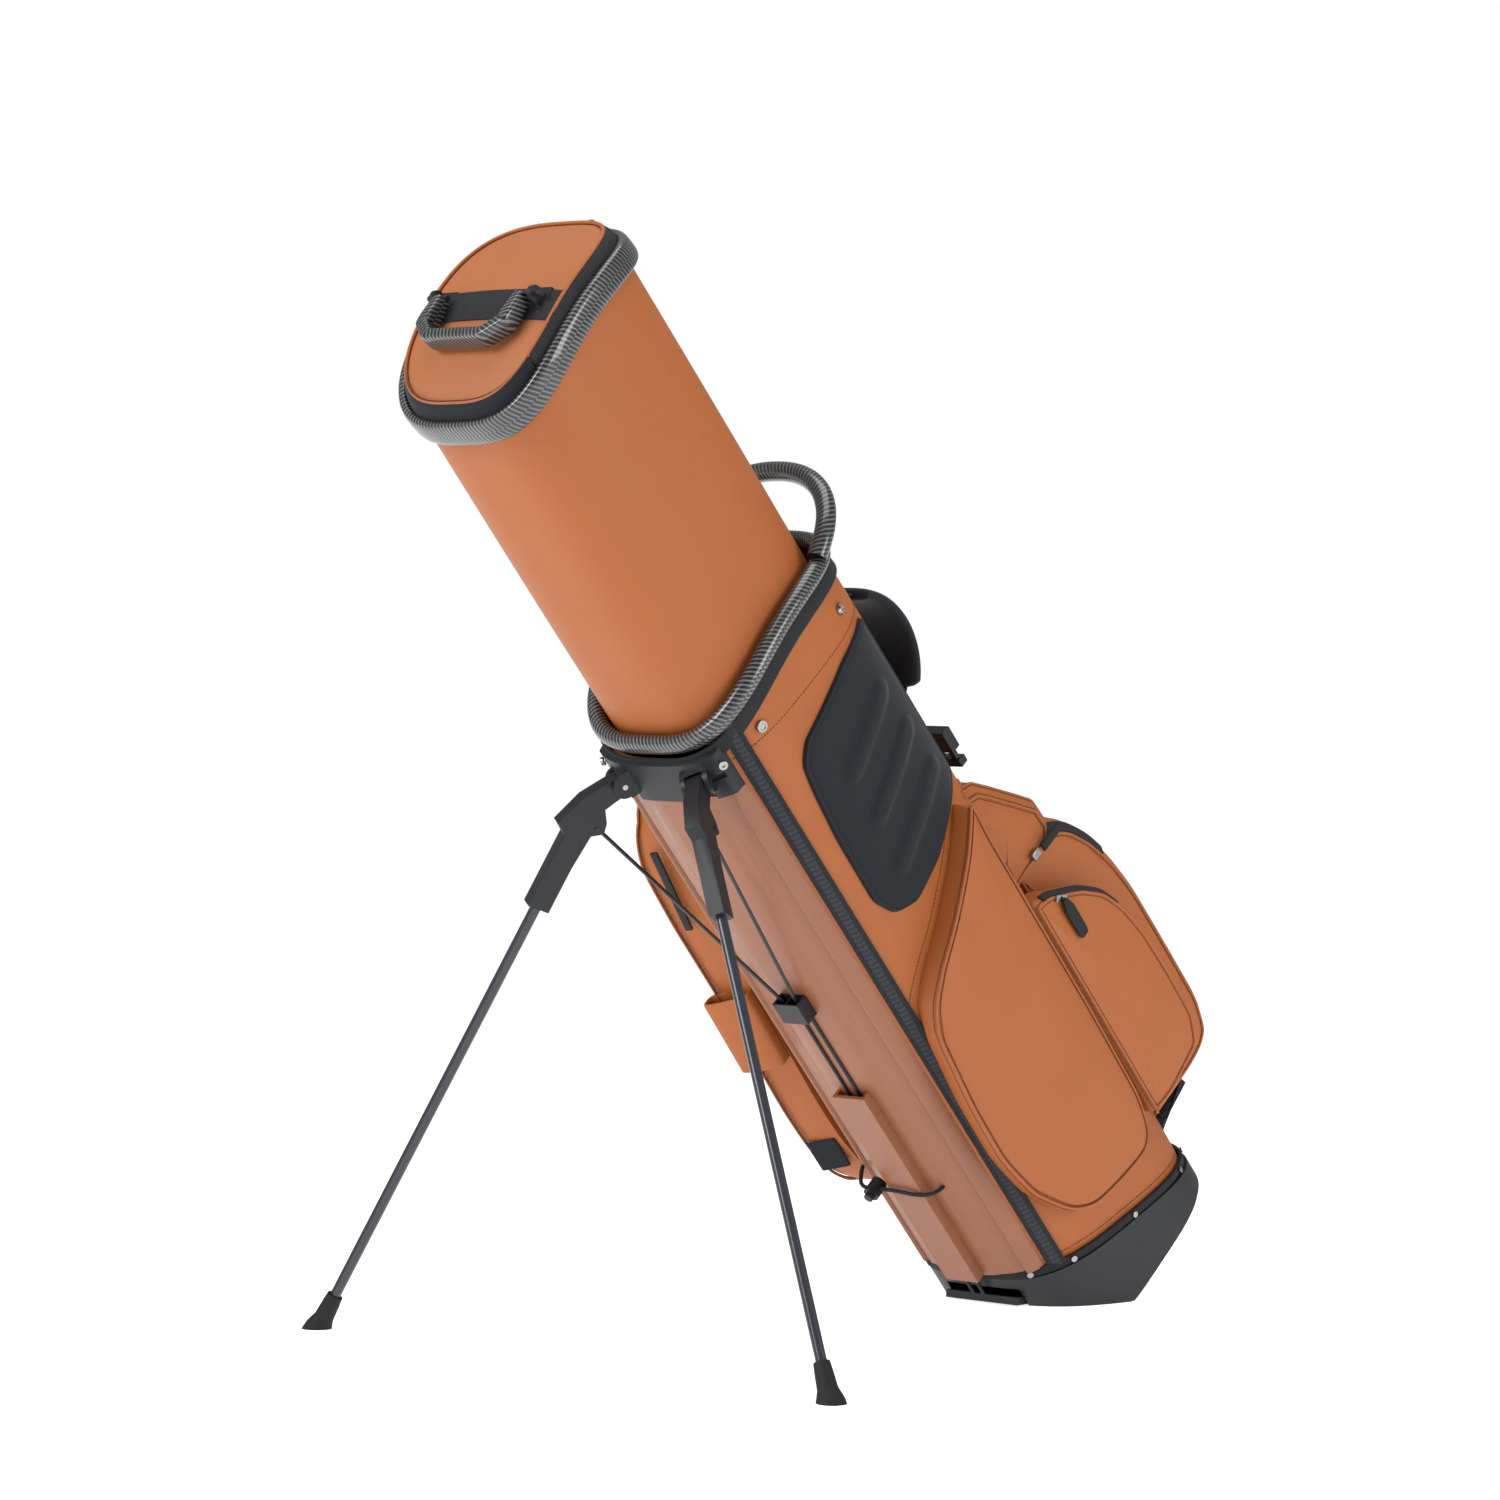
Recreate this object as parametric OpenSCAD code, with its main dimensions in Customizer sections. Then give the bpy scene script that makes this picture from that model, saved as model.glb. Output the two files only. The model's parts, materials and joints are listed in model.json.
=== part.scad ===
// Golf bag with a telescoping hood and a fold-out stand.
// Every piece is drawn upright in the bag's own axes: x runs from the leg side to the pocket side,
// y across, z up the bag from the flat of its base. lean() then sets the bag down on the toe of its
// base and its two legs, with the floor at z = 0.

/* [Stance] */
// Lean of the bag from upright, degrees
lean_angle = 40.9; // [36:0.1:44]
// Swing of each leg from deployed to folded, degrees
leg_fold = 57.2; // [50:0.1:60]
// Angle between each leg's swing plane and straight ahead, degrees
leg_splay = 32.9; // [28:0.1:36]
// Slope of a deployed leg below the bag's cross-plane, degrees
leg_droop = 32.8; // [30:0.1:36]

/* [Bag body] */
// Depth of the body, leg side to pocket side
body_depth = 270; // [256:1:276]
// Width of the body
body_width = 208; // [204:1:220]
// Thickness of the body's wall
body_wall = 5; // [4:0.5:7]
// Height of the collar at the bag's centre line
collar_z = 884.5; // [860:0.5:900]
// Rise of the collar towards the rear, degrees
collar_rise = 11.4; // [8:0.1:13]
// Height of the base band at the centre line
band_z = 76; // [70:1:84]
// Fall of the base band towards the rear, degrees
band_fall = 16.5; // [14:0.5:20]

/* [Hood] */
// Depth of the hood's tube
hood_depth = 234; // [226:1:236]
// Width of the hood's tube
hood_width = 188; // [180:1:190]
// Wall of the hood's tube
hood_wall = 3; // [2:0.5:4]
// Height of the hood's stitch line at the centre line, hood pulled out
hood_z = 1242; // [1220:1:1260]
// Length of the hood's tube
hood_length = 430; // [400:1:440]
// Rise of the lid towards the rear, degrees
lid_rise = 13; // [9:0.1:14]

/* [Stand] */
// Leg pivot, distance ahead of the centre line
pivot_x = 128; // [124:1:134]
// Leg pivot, distance to each side
pivot_y = 53; // [48:1:56]
// Leg pivot, height
pivot_z = 810; // [800:1:815]
// Radius of the leg tubes
leg_r = 5.5; // [5:0.25:6.5]
// Radius of the leg pivot pins
pin_r = 3; // [2.5:0.25:3.5]
// Running clearance on the leg pins
pin_gap = 0.06; // [0.03:0.01:0.1]
// Radius of the steel actuator rods
rod_r = 2; // [1.5:0.25:2.5]

/* [Base] */
// Where the flat bottom ends and the toe's slope starts, ahead of the centre line
heel_x = 36; // [30:1:44]
// Reach of the toe ahead of the centre line
toe_x = 120; // [112:1:122]
// Half width of the recess between the front feet
recess_y = 50; // [44:1:54]
// Where that recess starts, ahead of the centre line
recess_x = 62; // [58:1:66]

/* [Hidden] */

OVAL_POWER = 3.2;                   // how square the bag's oval is: 2 is an ellipse
OVAL_STEPS = 90;                    // corners round the bag's oval
SLIT = 0.2;                         // gap between neighbouring soft pieces
BIG = 2000;                         // larger than anything drawn
body_x = 16;                        // how far the body's section sits behind the centre line
hood_x = 14;
ring_x = 18;
body_a = body_depth / 2;
body_b = body_width / 2;
hood_a = hood_depth / 2;
ring_a = hood_a + 14;
hood_b = hood_width / 2;
ring_b = hood_b + 11;
collar_slope = tan(collar_rise);
band_slope = tan(band_fall);
lid_slope = tan(lid_rise);
bracket_low = 786;
bracket_high = 848;
hood_low = hood_z - hood_length + 20;

// The finished part's origin is the point of the toe's slope a little ahead of the heel.
origin_step = 12;
rest_x = -heel_x - origin_step;
rest_z = origin_step * tan(lean_angle);

module lean() {
    rotate([0, -lean_angle, 0]) translate([-rest_x, 0, -rest_z]) children();
}

// ---- helpers -------------------------------------------------------------------------------

function oval(a, b, power = OVAL_POWER, steps = OVAL_STEPS) = [for (i = [0:steps - 1])
    let (t = 360 * i / steps, c = cos(t), s = sin(t))
    [a * sign(c) * pow(abs(c), 2 / power), b * sign(s) * pow(abs(s), 2 / power)]];

// Upright oval prism of the body's section grown by an amount.
module body_prism(grow, low, high) {
    translate([body_x, 0, low]) linear_extrude(high - low) polygon(oval(body_a + grow, body_b + grow));
}

module hood_prism(grow, low, high) {
    translate([hood_x, 0, low]) linear_extrude(high - low) polygon(oval(hood_a + grow, hood_b + grow));
}

// Everything below a plane that crosses the centre line at height z and rises to the rear.
module below(z, rise) {
    translate([0, 0, z]) rotate([0, -rise, 0]) translate([-BIG, -BIG, -2 * BIG]) cube(2 * BIG);
}

// A layer of the body's surface, between two growths and two tilted planes.
module body_layer(inner, outer, low, low_rise, high, high_rise) {
    intersection() {
        difference() {
            body_prism(outer, 0, 1000);
            body_prism(inner, -1, 1001);
        }
        difference() {
            below(high, high_rise);
            below(low, low_rise);
        }
    }
}

// Extrudes an x-z outline across the bag, from y0 to y1.
module across(outline, y0, y1) {
    translate([0, y1, 0]) rotate([90, 0, 0]) linear_extrude(y1 - y0) polygon(outline);
}

// An outline's corner rounded as an arc from one point to another about a centre.
function arc(cx, cz, r, from, to, steps = 8) =
    [for (i = [0:steps]) let (t = from + (to - from) * i / steps) [cx + r * cos(t), cz + r * sin(t)]];

function unit(v) = v / norm(v);

// Rings of a tube swept along points in space, kept square to the path.
function side_of(d) = unit(cross(d, abs(d[1]) > 0.9 ? [1, 0, 0] : [0, 1, 0]));
function ring_at(p, d, r, sides) = let (n = side_of(d), m = cross(d, n))
    [for (k = [0:sides - 1]) p + r * (cos(360 * k / sides) * n + sin(360 * k / sides) * m)];

module swept_tube(path, r, sides = 8) {
    last = len(path) - 1;
    dirs = [for (i = [0:last]) unit(path[min(i + 1, last)] - path[max(i - 1, 0)])];
    points = [for (i = [0:last]) each ring_at(path[i], dirs[i], r, sides)];
    walls = [for (i = [0:last - 1], k = [0:sides - 1]) let (a = i * sides, n = (k + 1) % sides)
        [a + k, a + n, a + sides + n, a + sides + k]];
    ends = [[for (k = [sides - 1:-1:0]) k], [for (k = [0:sides - 1]) last * sides + k]];
    polyhedron(points, concat(walls, ends), convexity = 6);
}

// Round bar from one point to another.
module round_bar(p, q, r) {
    d = q - p;
    translate(p) rotate([0, acos(d[2] / norm(d)), atan2(d[1], d[0])]) cylinder(h = norm(d), r = r, $fn = 24);
}

// Closed tube of elliptical section lying along the body's oval on a tilted plane.
module oval_ring(centre, a, b, z, rise, r_out, r_up, rings = 60, sides = 12) {
    path = oval(a, b, OVAL_POWER, rings);
    points = [for (i = [0:rings - 1])
        let (p = path[i], q = path[(i + 1) % rings], o = path[(i + rings - 1) % rings],
            t = unit([q[0] - o[0], q[1] - o[1]]), n = [t[1], -t[0]])
        each [for (k = [0:sides - 1]) let (c = 360 * k / sides, w = r_out * cos(c),
            x = centre + p[0] + w * n[0], y = p[1] + w * n[1])
            [x, y, z + x * tan(rise) + r_up * sin(c)]]];
    faces = [for (i = [0:rings - 1], k = [0:sides - 1])
        let (a0 = i * sides, b0 = ((i + 1) % rings) * sides, n = (k + 1) % sides)
        [a0 + k, a0 + n, b0 + n, b0 + k]];
    polyhedron(points, faces, convexity = 6);
}

// A leg's own axes: origin on its pivot, x the way it swings out, z up the bag.
module leg_axes(side) {
    translate([-pivot_x, side * pivot_y, pivot_z]) rotate([0, 0, 180 - side * leg_splay]) children();
}

// ---- body ----------------------------------------------------------------------------------

module body_shell() {
    color("chocolate") lean() body_layer(-body_wall, 0, band_z, -band_fall, collar_z - 18, collar_rise);
}

// Top divider: a rim with a cross of bars and full-length fabric walls.
module divider_grid() {
    inset = hood_wall + 2;
    sheet = 3;
    color("black") lean() {
        difference() {
            hood_prism(-inset, 640, 790);
            hood_prism(-inset - 4, 639, 791);
        }
        intersection() {
            hood_prism(-inset - 1, 160, 786);
            union() {
                translate([-BIG / 2, -sheet / 2, 160]) cube([BIG, sheet, 626]);
                for (x = [hood_x - 38, hood_x + 38]) translate([x - sheet / 2, -BIG / 2, 160])
                    cube([sheet, BIG, 626]);
            }
        }
    }
}

// Moulded front shell between the two strips, with a raised channel for the actuator rods.
spine_edge = 80;
spine_mouth = 388;
channel_y = 22;
channel_x = 138;
function spine_outline(grow) = [[-93 - grow, -spine_edge], [-104 - grow, -70], [-112 - grow, -58],
    [-113 - grow, -46], [-119 - grow, -30], [-120 - grow, 0], [-119 - grow, 30], [-113 - grow, 46],
    [-112 - grow, 58], [-104 - grow, 70], [-93 - grow, spine_edge]];

module spine_shell() {
    outline = concat(spine_outline(5), [[-40, spine_edge], [-40, -spine_edge]]);
    color("peru") lean() difference() {
        union() {
            intersection() {
                translate([0, 0, 60]) linear_extrude(bracket_low - 61) polygon(outline);
                difference() {
                    below(bracket_low - 1, 0);
                    below(band_z + 9, -band_fall);
                }
            }
            translate([-channel_x, -channel_y, 122]) cube([30, 2 * channel_y, spine_mouth - 122]);
        }
        body_prism(SLIT, 0, 1000);
        translate([-channel_x + 4, -channel_y + 4, 100]) cube([12, 2 * channel_y - 8, 400]);
        for (s = [-1, 1]) translate([-BIG - 80, s > 0 ? 79.5 : -200, 0]) cube([BIG, 120.5, 1000]);
    }
}

module spine_strips() {
    color("black") lean() for (s = [-1, 1]) intersection() {
        body_layer(SLIT, 4, band_z + 9, -band_fall, collar_z - 26, collar_rise);
        translate([-110, s > 0 ? 79.8 : -92, 0]) cube([60, 12.2, 1000]);
    }
}

module ring_tube(r_out, r_up) {
    oval_ring(ring_x, ring_a, ring_b, collar_z, collar_rise, r_out, r_up);
}

module collar_ring() {
    color("dimgray") lean() ring_tube(9, 10);
}

module collar_band() {
    color("black") lean() difference() {
        body_layer(SLIT, 4, collar_z - 26, collar_rise, collar_z - 10.2, collar_rise);
        body_prism(SLIT, 0, 900);
    }
}

// Loop handle that springs from the collar's rear corners, tangent to its sides.
handle_r = 10;
handle_y = 98;
handle_x = 105;
handle_reach = 90;
handle_z = 898;
handle_rise = 0.4;
function handle_path() = [for (i = [-10:10]) let (t = i * 9, x = handle_reach * pow(abs(cos(t)), 0.8))
    [handle_x + x, handle_y * sign(t) * pow(abs(sin(t)), 0.9), handle_z + handle_rise * x]];

module collar_handle() {
    color("dimgray") lean() difference() {
        swept_tube(handle_path(), handle_r, 12);
        ring_tube(9.2, 10.2);
        body_prism(4.4, 800, 1000);
        translate([-BIG + handle_x + 18, -BIG, 0]) cube([BIG, 2 * BIG, BIG]);
    }
}

// ---- panels and pockets --------------------------------------------------------------------

hip_outline = concat([[112, 806], [24, 788]], arc(-36, 762, 18, 100, 180), arc(-40, 566, 18, 180, 262),
    [[30, 556], [112, 594]]);
side_outline = concat([[84, 600], [26, 566], [-50, 530]], arc(-70, 506, 24, 100, 180),
    [[-96, 300]], arc(-70, 190, 24, 180, 262), arc(52, 172, 28, 285, 360), [[86, 330]]);
far_front = -112;
far_outline = concat([[70, 712]], arc(far_front + 28, 684, 28, 90, 180), arc(far_front + 36, 236, 36, 180, 270),
    arc(50, 228, 28, 270, 360), [[86, 500]]);
ball_outline = concat([[112, 452], [196, 438]], arc(212, 380, 52, 75, 20), [[272, 250]],
    arc(222, 150, 50, 0, -80), [[112, 92]]);
valuables_outline = [[112, 578], [150, 568], [200, 490], [212, 470], [206, 462], [112, 466]];
cooler_outline = concat([[98, 430], [122, 422], [180, 372], [198, 334], [212, 210]],
    arc(184, 148, 28, 0, -80), [[98, 120]]);
cooler_fall = 40.8;
rear_half = 84;
cooler_y = 124;

module hip_pad() {
    color("darkslategray") lean() intersection() {
        body_layer(SLIT, 9, 400, 0, 850, 0);
        across(hip_outline, -140, -40);
    }
}

module side_pocket() {
    color("chocolate") lean() difference() {
        intersection() {
            body_prism(28, 100, 700);
            across(side_outline, -140, -60);
        }
        body_prism(SLIT, 0, 1000);
        hip_clearance();
        spine_clearance(-1);
    }
}

// The room of the moulded spine and of the strip beside it.
module spine_clearance(s) {
    translate([-140, s > 0 ? 40 : -80.2, 0]) cube([60, s > 0 ? 42.4 : 40.2, 800]);
    intersection() {
        body_prism(4.4, 0, 900);
        translate([-112, s > 0 ? 79 : -92.4, 0]) cube([64, 13.4, 900]);
    }
}

// The side pocket's top rear corner leaves room for the hip pad above it.
module hip_clearance() {
    intersection() {
        body_prism(9.4, 400, 850);
        minkowski() {
            across(hip_outline, -140, -40);
            cube(0.6, center = true);
        }
    }
}

// The side pocket's zip runs straight down its rear edge.
module side_zip() {
    color("black") lean() translate([88.4, -112, 356]) cube([4, 12, 184]);
}

module valuables_pocket() {
    color("chocolate") lean() difference() {
        across(valuables_outline, -rear_half + 14, rear_half - 14);
        body_prism(SLIT, 0, 1000);
    }
}

module ball_pocket() {
    color("chocolate") lean() difference() {
        across(ball_outline, -rear_half, rear_half);
        body_prism(SLIT, 0, 1000);
    }
}

module ball_zip() {
    color("black") lean() for (s = [-1, 1]) difference() {
        across([for (p = ball_outline) p + [3, p[1] > 250 ? 2 : -2]], s > 0 ? rear_half + SLIT : -rear_half - 4,
            s > 0 ? rear_half + 4 : -rear_half - SLIT);
        across([for (p = ball_outline) [p[0] - 9, 270 + (p[1] - 270) * 0.94]], -200, 200);
        body_prism(SLIT, 0, 1000);
        if (s < 0) across(cooler_outline, -200, 0);
    }
}

module cooler_pocket() {
    color("chocolate") lean() difference() {
        across(cooler_outline, -cooler_y, -rear_half - 0.4);
        body_prism(SLIT, 0, 1000);
        translate([0, -cooler_y - 1, 0]) cube([93, 60, 1000]);
    }
}

module cooler_zip() {
    color("black") lean() translate([123.4, -cooler_y + 6, 422]) rotate([0, cooler_fall, 0]) cube([72, 8, 4]);
}

module far_pocket() {
    color("chocolate") lean() difference() {
        intersection() {
            body_prism(46, 100, 800);
            across(far_outline, 60, 160);
        }
        body_prism(SLIT, 0, 1000);
        spine_clearance(1);
    }
}

module far_zip() {
    color("black") lean() translate([far_front - 3.6, 106, 592]) cube([3.2, 7, 90]);
}

// Small open-topped sleeve on the far pocket.
module tee_sleeve() {
    color("chocolate") lean() difference() {
        translate([far_front - 16, 92, 420]) cube([15.6, 40, 84]);
        translate([far_front - 12, 96, 424]) cube([13, 32, 100]);
    }
}

module towel_loop() {
    color("white") lean() translate([-66, body_b + 14, 713.5]) difference() {
        cube([22, 3, 18]);
        translate([4, -1, 4]) cube([14, 5, 8]);
    }
}

module label_patch() {
    color("black") lean() translate([far_front - 1.6, 94, 250]) cube([1.2, 32, 40]);
}

module mesh_gore() {
    color("black") lean() difference() {
        across([[112, 91], [196, 100], [112, 70]], -rear_half + 8, rear_half - 8);
        body_prism(4.6, 0, 1000);
        across(ball_outline, -200, 200);
    }
}

snap_spots = [[-61, 827], [97, 838]];
function body_side(x) = body_b * pow(1 - pow(abs(x - body_x) / body_a, OVAL_POWER), 1 / OVAL_POWER);
module snap_buttons() {
    color("silver") lean() difference() {
        for (p = snap_spots, s = [-1, 1]) translate([p[0], s * (body_side(p[0]) - 0.5), p[1]])
            rotate([s * -90, 0, p[0] > 0 ? s * -32 : s * 10]) difference() {
                cylinder(h = 4, r = 6, $fn = 36);
                translate([0, 0, 3]) cylinder(h = 2, r = 3.6, $fn = 24);
            }
        body_prism(SLIT, 700, 950);
    }
}

// ---- zip sliders and pulls -----------------------------------------------------------------

side_slider_at = [90.4, -116.6, 524];
module side_slider() {
    color("silver") lean() translate(side_slider_at) cube([8, 5, 13], center = true);
}

module side_pull() {
    color("black") lean() translate(side_slider_at + [0, -4.9, -6]) across([[-2.5, 0], [2.5, 0], [5, -26],
        [3, -44], [-3, -44], [-5, -26]], -2, 2);
}

ball_slider_at = [160, -rear_half - 7.2, 452];
module ball_slider() {
    color("silver") lean() translate(ball_slider_at) cube([13, 5, 8], center = true);
}

module ball_pull() {
    color("black") lean() translate(ball_slider_at + [9.5, -5, -4.5]) cube([34, 3.6, 9]);
}

cooler_slider_at = [130.8, -cooler_y + 1.2, 419.5];
module cooler_slider() {
    color("silver") lean() translate(cooler_slider_at) rotate([0, cooler_fall, 0]) difference() {
        cube([16, 9, 7], center = true);
        rotate([90, 0, 0]) cylinder(h = 20, r = 2, center = true, $fn = 24);
    }
}

module cooler_pull() {
    color("black") lean() translate(cooler_slider_at + [0, -6.8, -1]) across([[-3, 0], [3, 0], [7, -12],
        [7, -44], [5, -50], [-5, -50], [-7, -44], [-7, -12]], -2, 2);
}

// ---- shoulder strap ------------------------------------------------------------------------

strap_centre = [118, 736];
strap_r = 78;
module strap_band(r0, r1, from, to, y0, y1) {
    outline = concat(arc(strap_centre[0], strap_centre[1], r1, from, to, 14),
        arc(strap_centre[0], strap_centre[1], r0, to, from, 14));
    across(outline, y0, y1);
}

module strap_pad() {
    color("black") lean() strap_band(strap_r - 7, strap_r + 7, 52, -52, -58, 12);
}

module strap_webbing() {
    color("black") lean() difference() {
        union() {
            strap_band(strap_r - 1.5, strap_r + 1.5, 87, 52.4, -42, -4);
            strap_band(strap_r - 1.5, strap_r + 1.5, -52.4, -86, -42, -4);
        }
        body_prism(SLIT, 0, 1000);
    }
}

module strap_tab() {
    color("silver") lean() strap_band(strap_r + 7.3, strap_r + 9.3, 8, -8, -36, -10);
}

buckle_at = [168, -40, 588];
module buckle_socket() {
    color("black") lean() translate(buckle_at) difference() {
        translate([-6, -17, 0]) cube([13, 34, 26]);
        translate([-3, -13, -1]) cube([7, 26, 22]);
    }
}

module buckle_tongue() {
    color("black") lean() translate(buckle_at) {
        translate([-2.4, -12.4, -12]) cube([5.8, 7, 30]);
        translate([-2.4, 5.4, -12]) cube([5.8, 7, 30]);
        translate([-5, -17, -20]) cube([11, 34, 9]);
    }
}

// ---- stand ---------------------------------------------------------------------------------

ear_half = 14.5;
knuckle_half = 9;
knuckle_top = 13;

module stand_bracket() {
    color("darkslategray") lean() difference() {
        union() {
            intersection() {
                body_layer(SLIT, 9, bracket_low, 0, bracket_high, 0);
                translate([-200, -79, 0]) cube([120, 158, 1000]);
                below(collar_z - 26.4, collar_rise);
            }
            for (s = [-1, 1]) leg_axes(s) difference() {
                translate([-24, -ear_half, -14]) cube([24, 2 * ear_half, 28]);
                translate([-12, -knuckle_half - 0.5, -30]) cube([60, 2 * knuckle_half + 1, knuckle_top + 30]);
            }
            for (s = [-1, 1]) leg_axes(s) for (v = [-1, 1])
                translate([0, v * (ear_half + knuckle_half + 0.5) / 2, 0]) rotate([90, 0, 0])
                    cylinder(h = ear_half - knuckle_half - 0.5, r = 12, center = true, $fn = 48);
        }
        body_prism(SLIT, 0, 1000);
        for (s = [-1, 1]) leg_axes(s) {
            rotate([90, 0, 0]) cylinder(h = 60, r = pin_r, center = true, $fn = 36);
            translate([-13, -knuckle_half - 0.5, -30]) cube([60, 2 * knuckle_half + 1, knuckle_top + 30]);
        }
        for (s = [-1, 1]) translate([-100, s * 64, 822]) rotate([0, -90, s * -56])
            cylinder(h = 60, r = 2.2, center = true, $fn = 24);
    }
}

module bracket_screws() {
    color("silver") lean() difference() {
        for (s = [-1, 1]) translate([-100, s * 64, 822]) rotate([0, -90, s * -56]) difference() {
            union() {
                translate([0, 0, 2]) cylinder(h = 19, r = 2.1, $fn = 24);
                translate([0, 0, 20.6]) cylinder(h = 3, r = 4.6, $fn = 32);
            }
            translate([0, 0, 22]) cylinder(h = 3, r = 2, $fn = 6);
        }
        body_prism(SLIT, 700, 900);
    }
}

module leg_pins() {
    color("silver") lean() for (s = [-1, 1]) leg_axes(s) rotate([90, 0, 0])
        cylinder(h = 2 * ear_half, r = pin_r, center = true, $fn = 36);
}

// The leg's line in its own axes: it passes the socket's mouth and slopes down at leg_droop.
mouth_u = 136;
mouth_z = -64;
leg_dir = [cos(leg_droop), 0, -sin(leg_droop)];
rod_eye = [45, -25];
module along_leg(from_mouth) {
    translate([mouth_u, 0, mouth_z] + from_mouth * leg_dir) rotate([0, 90 + leg_droop, 0]) children();
}

module knuckle(side) {
    arm = concat([[0, 10.4], [40, 12], [74, 4]], [for (p = [[0, 11.5], [80, 11.5], [80, -11.5], [30, -11.5]])
        [mouth_u - (80 - p[0]) * cos(leg_droop) + p[1] * sin(leg_droop),
         mouth_z + (80 - p[0]) * sin(leg_droop) + p[1] * cos(leg_droop)]],
        [[54, -28], [42, -34], [34, -26], [28, -12], [0, -10.4]]);
    lean() leg_axes(side) difference() {
        union() {
            translate([0, knuckle_half - 1, 0]) rotate([90, 0, 0])
                linear_extrude(2 * knuckle_half - 2) polygon(arm);
            rotate([90, 0, 0]) cylinder(h = 2 * knuckle_half, r = 10.4, center = true, $fn = 48);
        }
        rotate([90, 0, 0]) cylinder(h = 60, r = pin_r + pin_gap, center = true, $fn = 36);
        along_leg(-62) cylinder(h = 80, r = leg_r, $fn = 36);
        translate([rod_eye[0], 0, rod_eye[1]]) rotate([90, 0, 0])
            cylinder(h = 60, r = rod_r + pin_gap, center = true, $fn = 36);
        translate([rod_eye[0] - 14, -4, rod_eye[1] - 14]) cube([28, 8, 19]);
    }
}

// Height of the leg's pivot and slope of the leg above the floor give the leg its length.
function floor_height(p) = (p[0] - rest_x) * sin(lean_angle) + (p[2] - rest_z) * cos(lean_angle);
function leg_axes_to_bag(u, z) = [-pivot_x - u * cos(leg_splay), pivot_y + u * sin(leg_splay), pivot_z + z];
mouth_height = floor_height(leg_axes_to_bag(mouth_u, mouth_z));
fall_per_mm = mouth_height - floor_height(leg_axes_to_bag(mouth_u + leg_dir[0], mouth_z + leg_dir[2]));
leg_reach = mouth_height / fall_per_mm;

module leg(side) {
    lean() leg_axes(side) along_leg(-61) cylinder(h = leg_reach + 61 - 14, r = leg_r, $fn = 36);
}

module foot(side) {
    difference() {
        lean() leg_axes(side) along_leg(leg_reach) rotate_extrude($fn = 48)
            polygon([[0, -13.9], [leg_r + 0.05, -13.9], [leg_r + 0.05, -38], [8, -40], [9, -30], [10, -14],
                [14, -2], [15, 8], [0, 8]]);
        translate([-BIG, -BIG, -BIG]) cube([2 * BIG, 2 * BIG, BIG]);
    }
}

module knuckle_near() { color("darkslategray") knuckle(-1); }
module knuckle_far() { color("darkslategray") knuckle(1); }
module leg_near() { color("dimgray") leg(-1); }
module leg_far() { color("dimgray") leg(1); }
module foot_near() { color("black") foot(-1); }
module foot_far() { color("black") foot(1); }

// Actuator rods: each hangs from a leg's eye and hooks into the carriage, which slides in the spine.
carriage_x = 131;
carriage_z = 511;
carriage_y = 7;
module rod(side) {
    eye = leg_axes_to_bag(rod_eye[0], rod_eye[1]);
    lean() {
        round_bar([eye[0], side * eye[1], eye[2]], [-carriage_x - 3, side * carriage_y, carriage_z + 1], rod_r);
        leg_axes(side) translate([rod_eye[0], 0, rod_eye[1]]) rotate([90, 0, 0])
            cylinder(h = 2 * knuckle_half, r = rod_r, center = true, $fn = 36);
    }
}

module rod_near() { color("black") rod(-1); }
module rod_far() { color("black") rod(1); }

module rod_carriage() {
    color("black") lean() {
        difference() {
            translate([-carriage_x - 12, -17, carriage_z - 13]) cube([17, 34, 26]);
            for (s = [-1, 1]) translate([-carriage_x - 10.5, s * (carriage_y + 0.6) - 7, carriage_z - 9])
                cube([14, 14, 40]);
        }
        for (s = [-1, 1]) translate([-carriage_x + 3, s * carriage_y, 94])
            cylinder(h = carriage_z - 106, r = rod_r, $fn = 24);
    }
}

// Elastic cord across the spine that holds the folded legs, with its cord lock.
lock_at = [-141.5, 38, 258];
loop_path = [[-121.4, -38, 250], [-127, -37.6, 250.3], [-134, -33, 251], [-139.5, -24, 252.6],
    [-141.5, -10, 255], [-141.5, 4, 257], [-141.5, 16, 258], [-141.5, 50, 258], [-140.2, 56, 258],
    [-136, 62, 258], [-128, 68, 257.4], [-116, 75, 257], [-104, 78.4, 256.8]];

module loop_cord() {
    color("black") lean() swept_tube(loop_path, 2.2, 8);
}

module cord_lock() {
    color("black") lean() translate(lock_at) rotate([0, 90, 0]) difference() {
        cylinder(h = 18, r = 8.5, center = true, $fn = 36);
        translate([0, 0, -9.5]) cylinder(h = 6, r = 5.06, $fn = 36);
        rotate([90, 0, 0]) cylinder(h = 40, r = 2.6, center = true, $fn = 24);
    }
}

module lock_button() {
    color("black") lean() translate(lock_at) rotate([0, 90, 0])
        translate([0, 0, -15]) cylinder(h = 7.4, r = 5, $fn = 36);
}

// ---- base ----------------------------------------------------------------------------------

// The wedge that the floor cuts off the toe, raised by an amount.
module under_floor(lift = 0) {
    translate([-heel_x, 0, 0]) rotate([0, lean_angle, 0])
        translate([-BIG, -BIG, -BIG + lift]) cube([BIG, 2 * BIG, BIG]);
}

module base_slab(low, tall, grow_a, grow_b) {
    translate([body_x, 0, low]) linear_extrude(tall) polygon(oval(body_a + grow_a, body_b + grow_b, 3.4));
}

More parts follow.
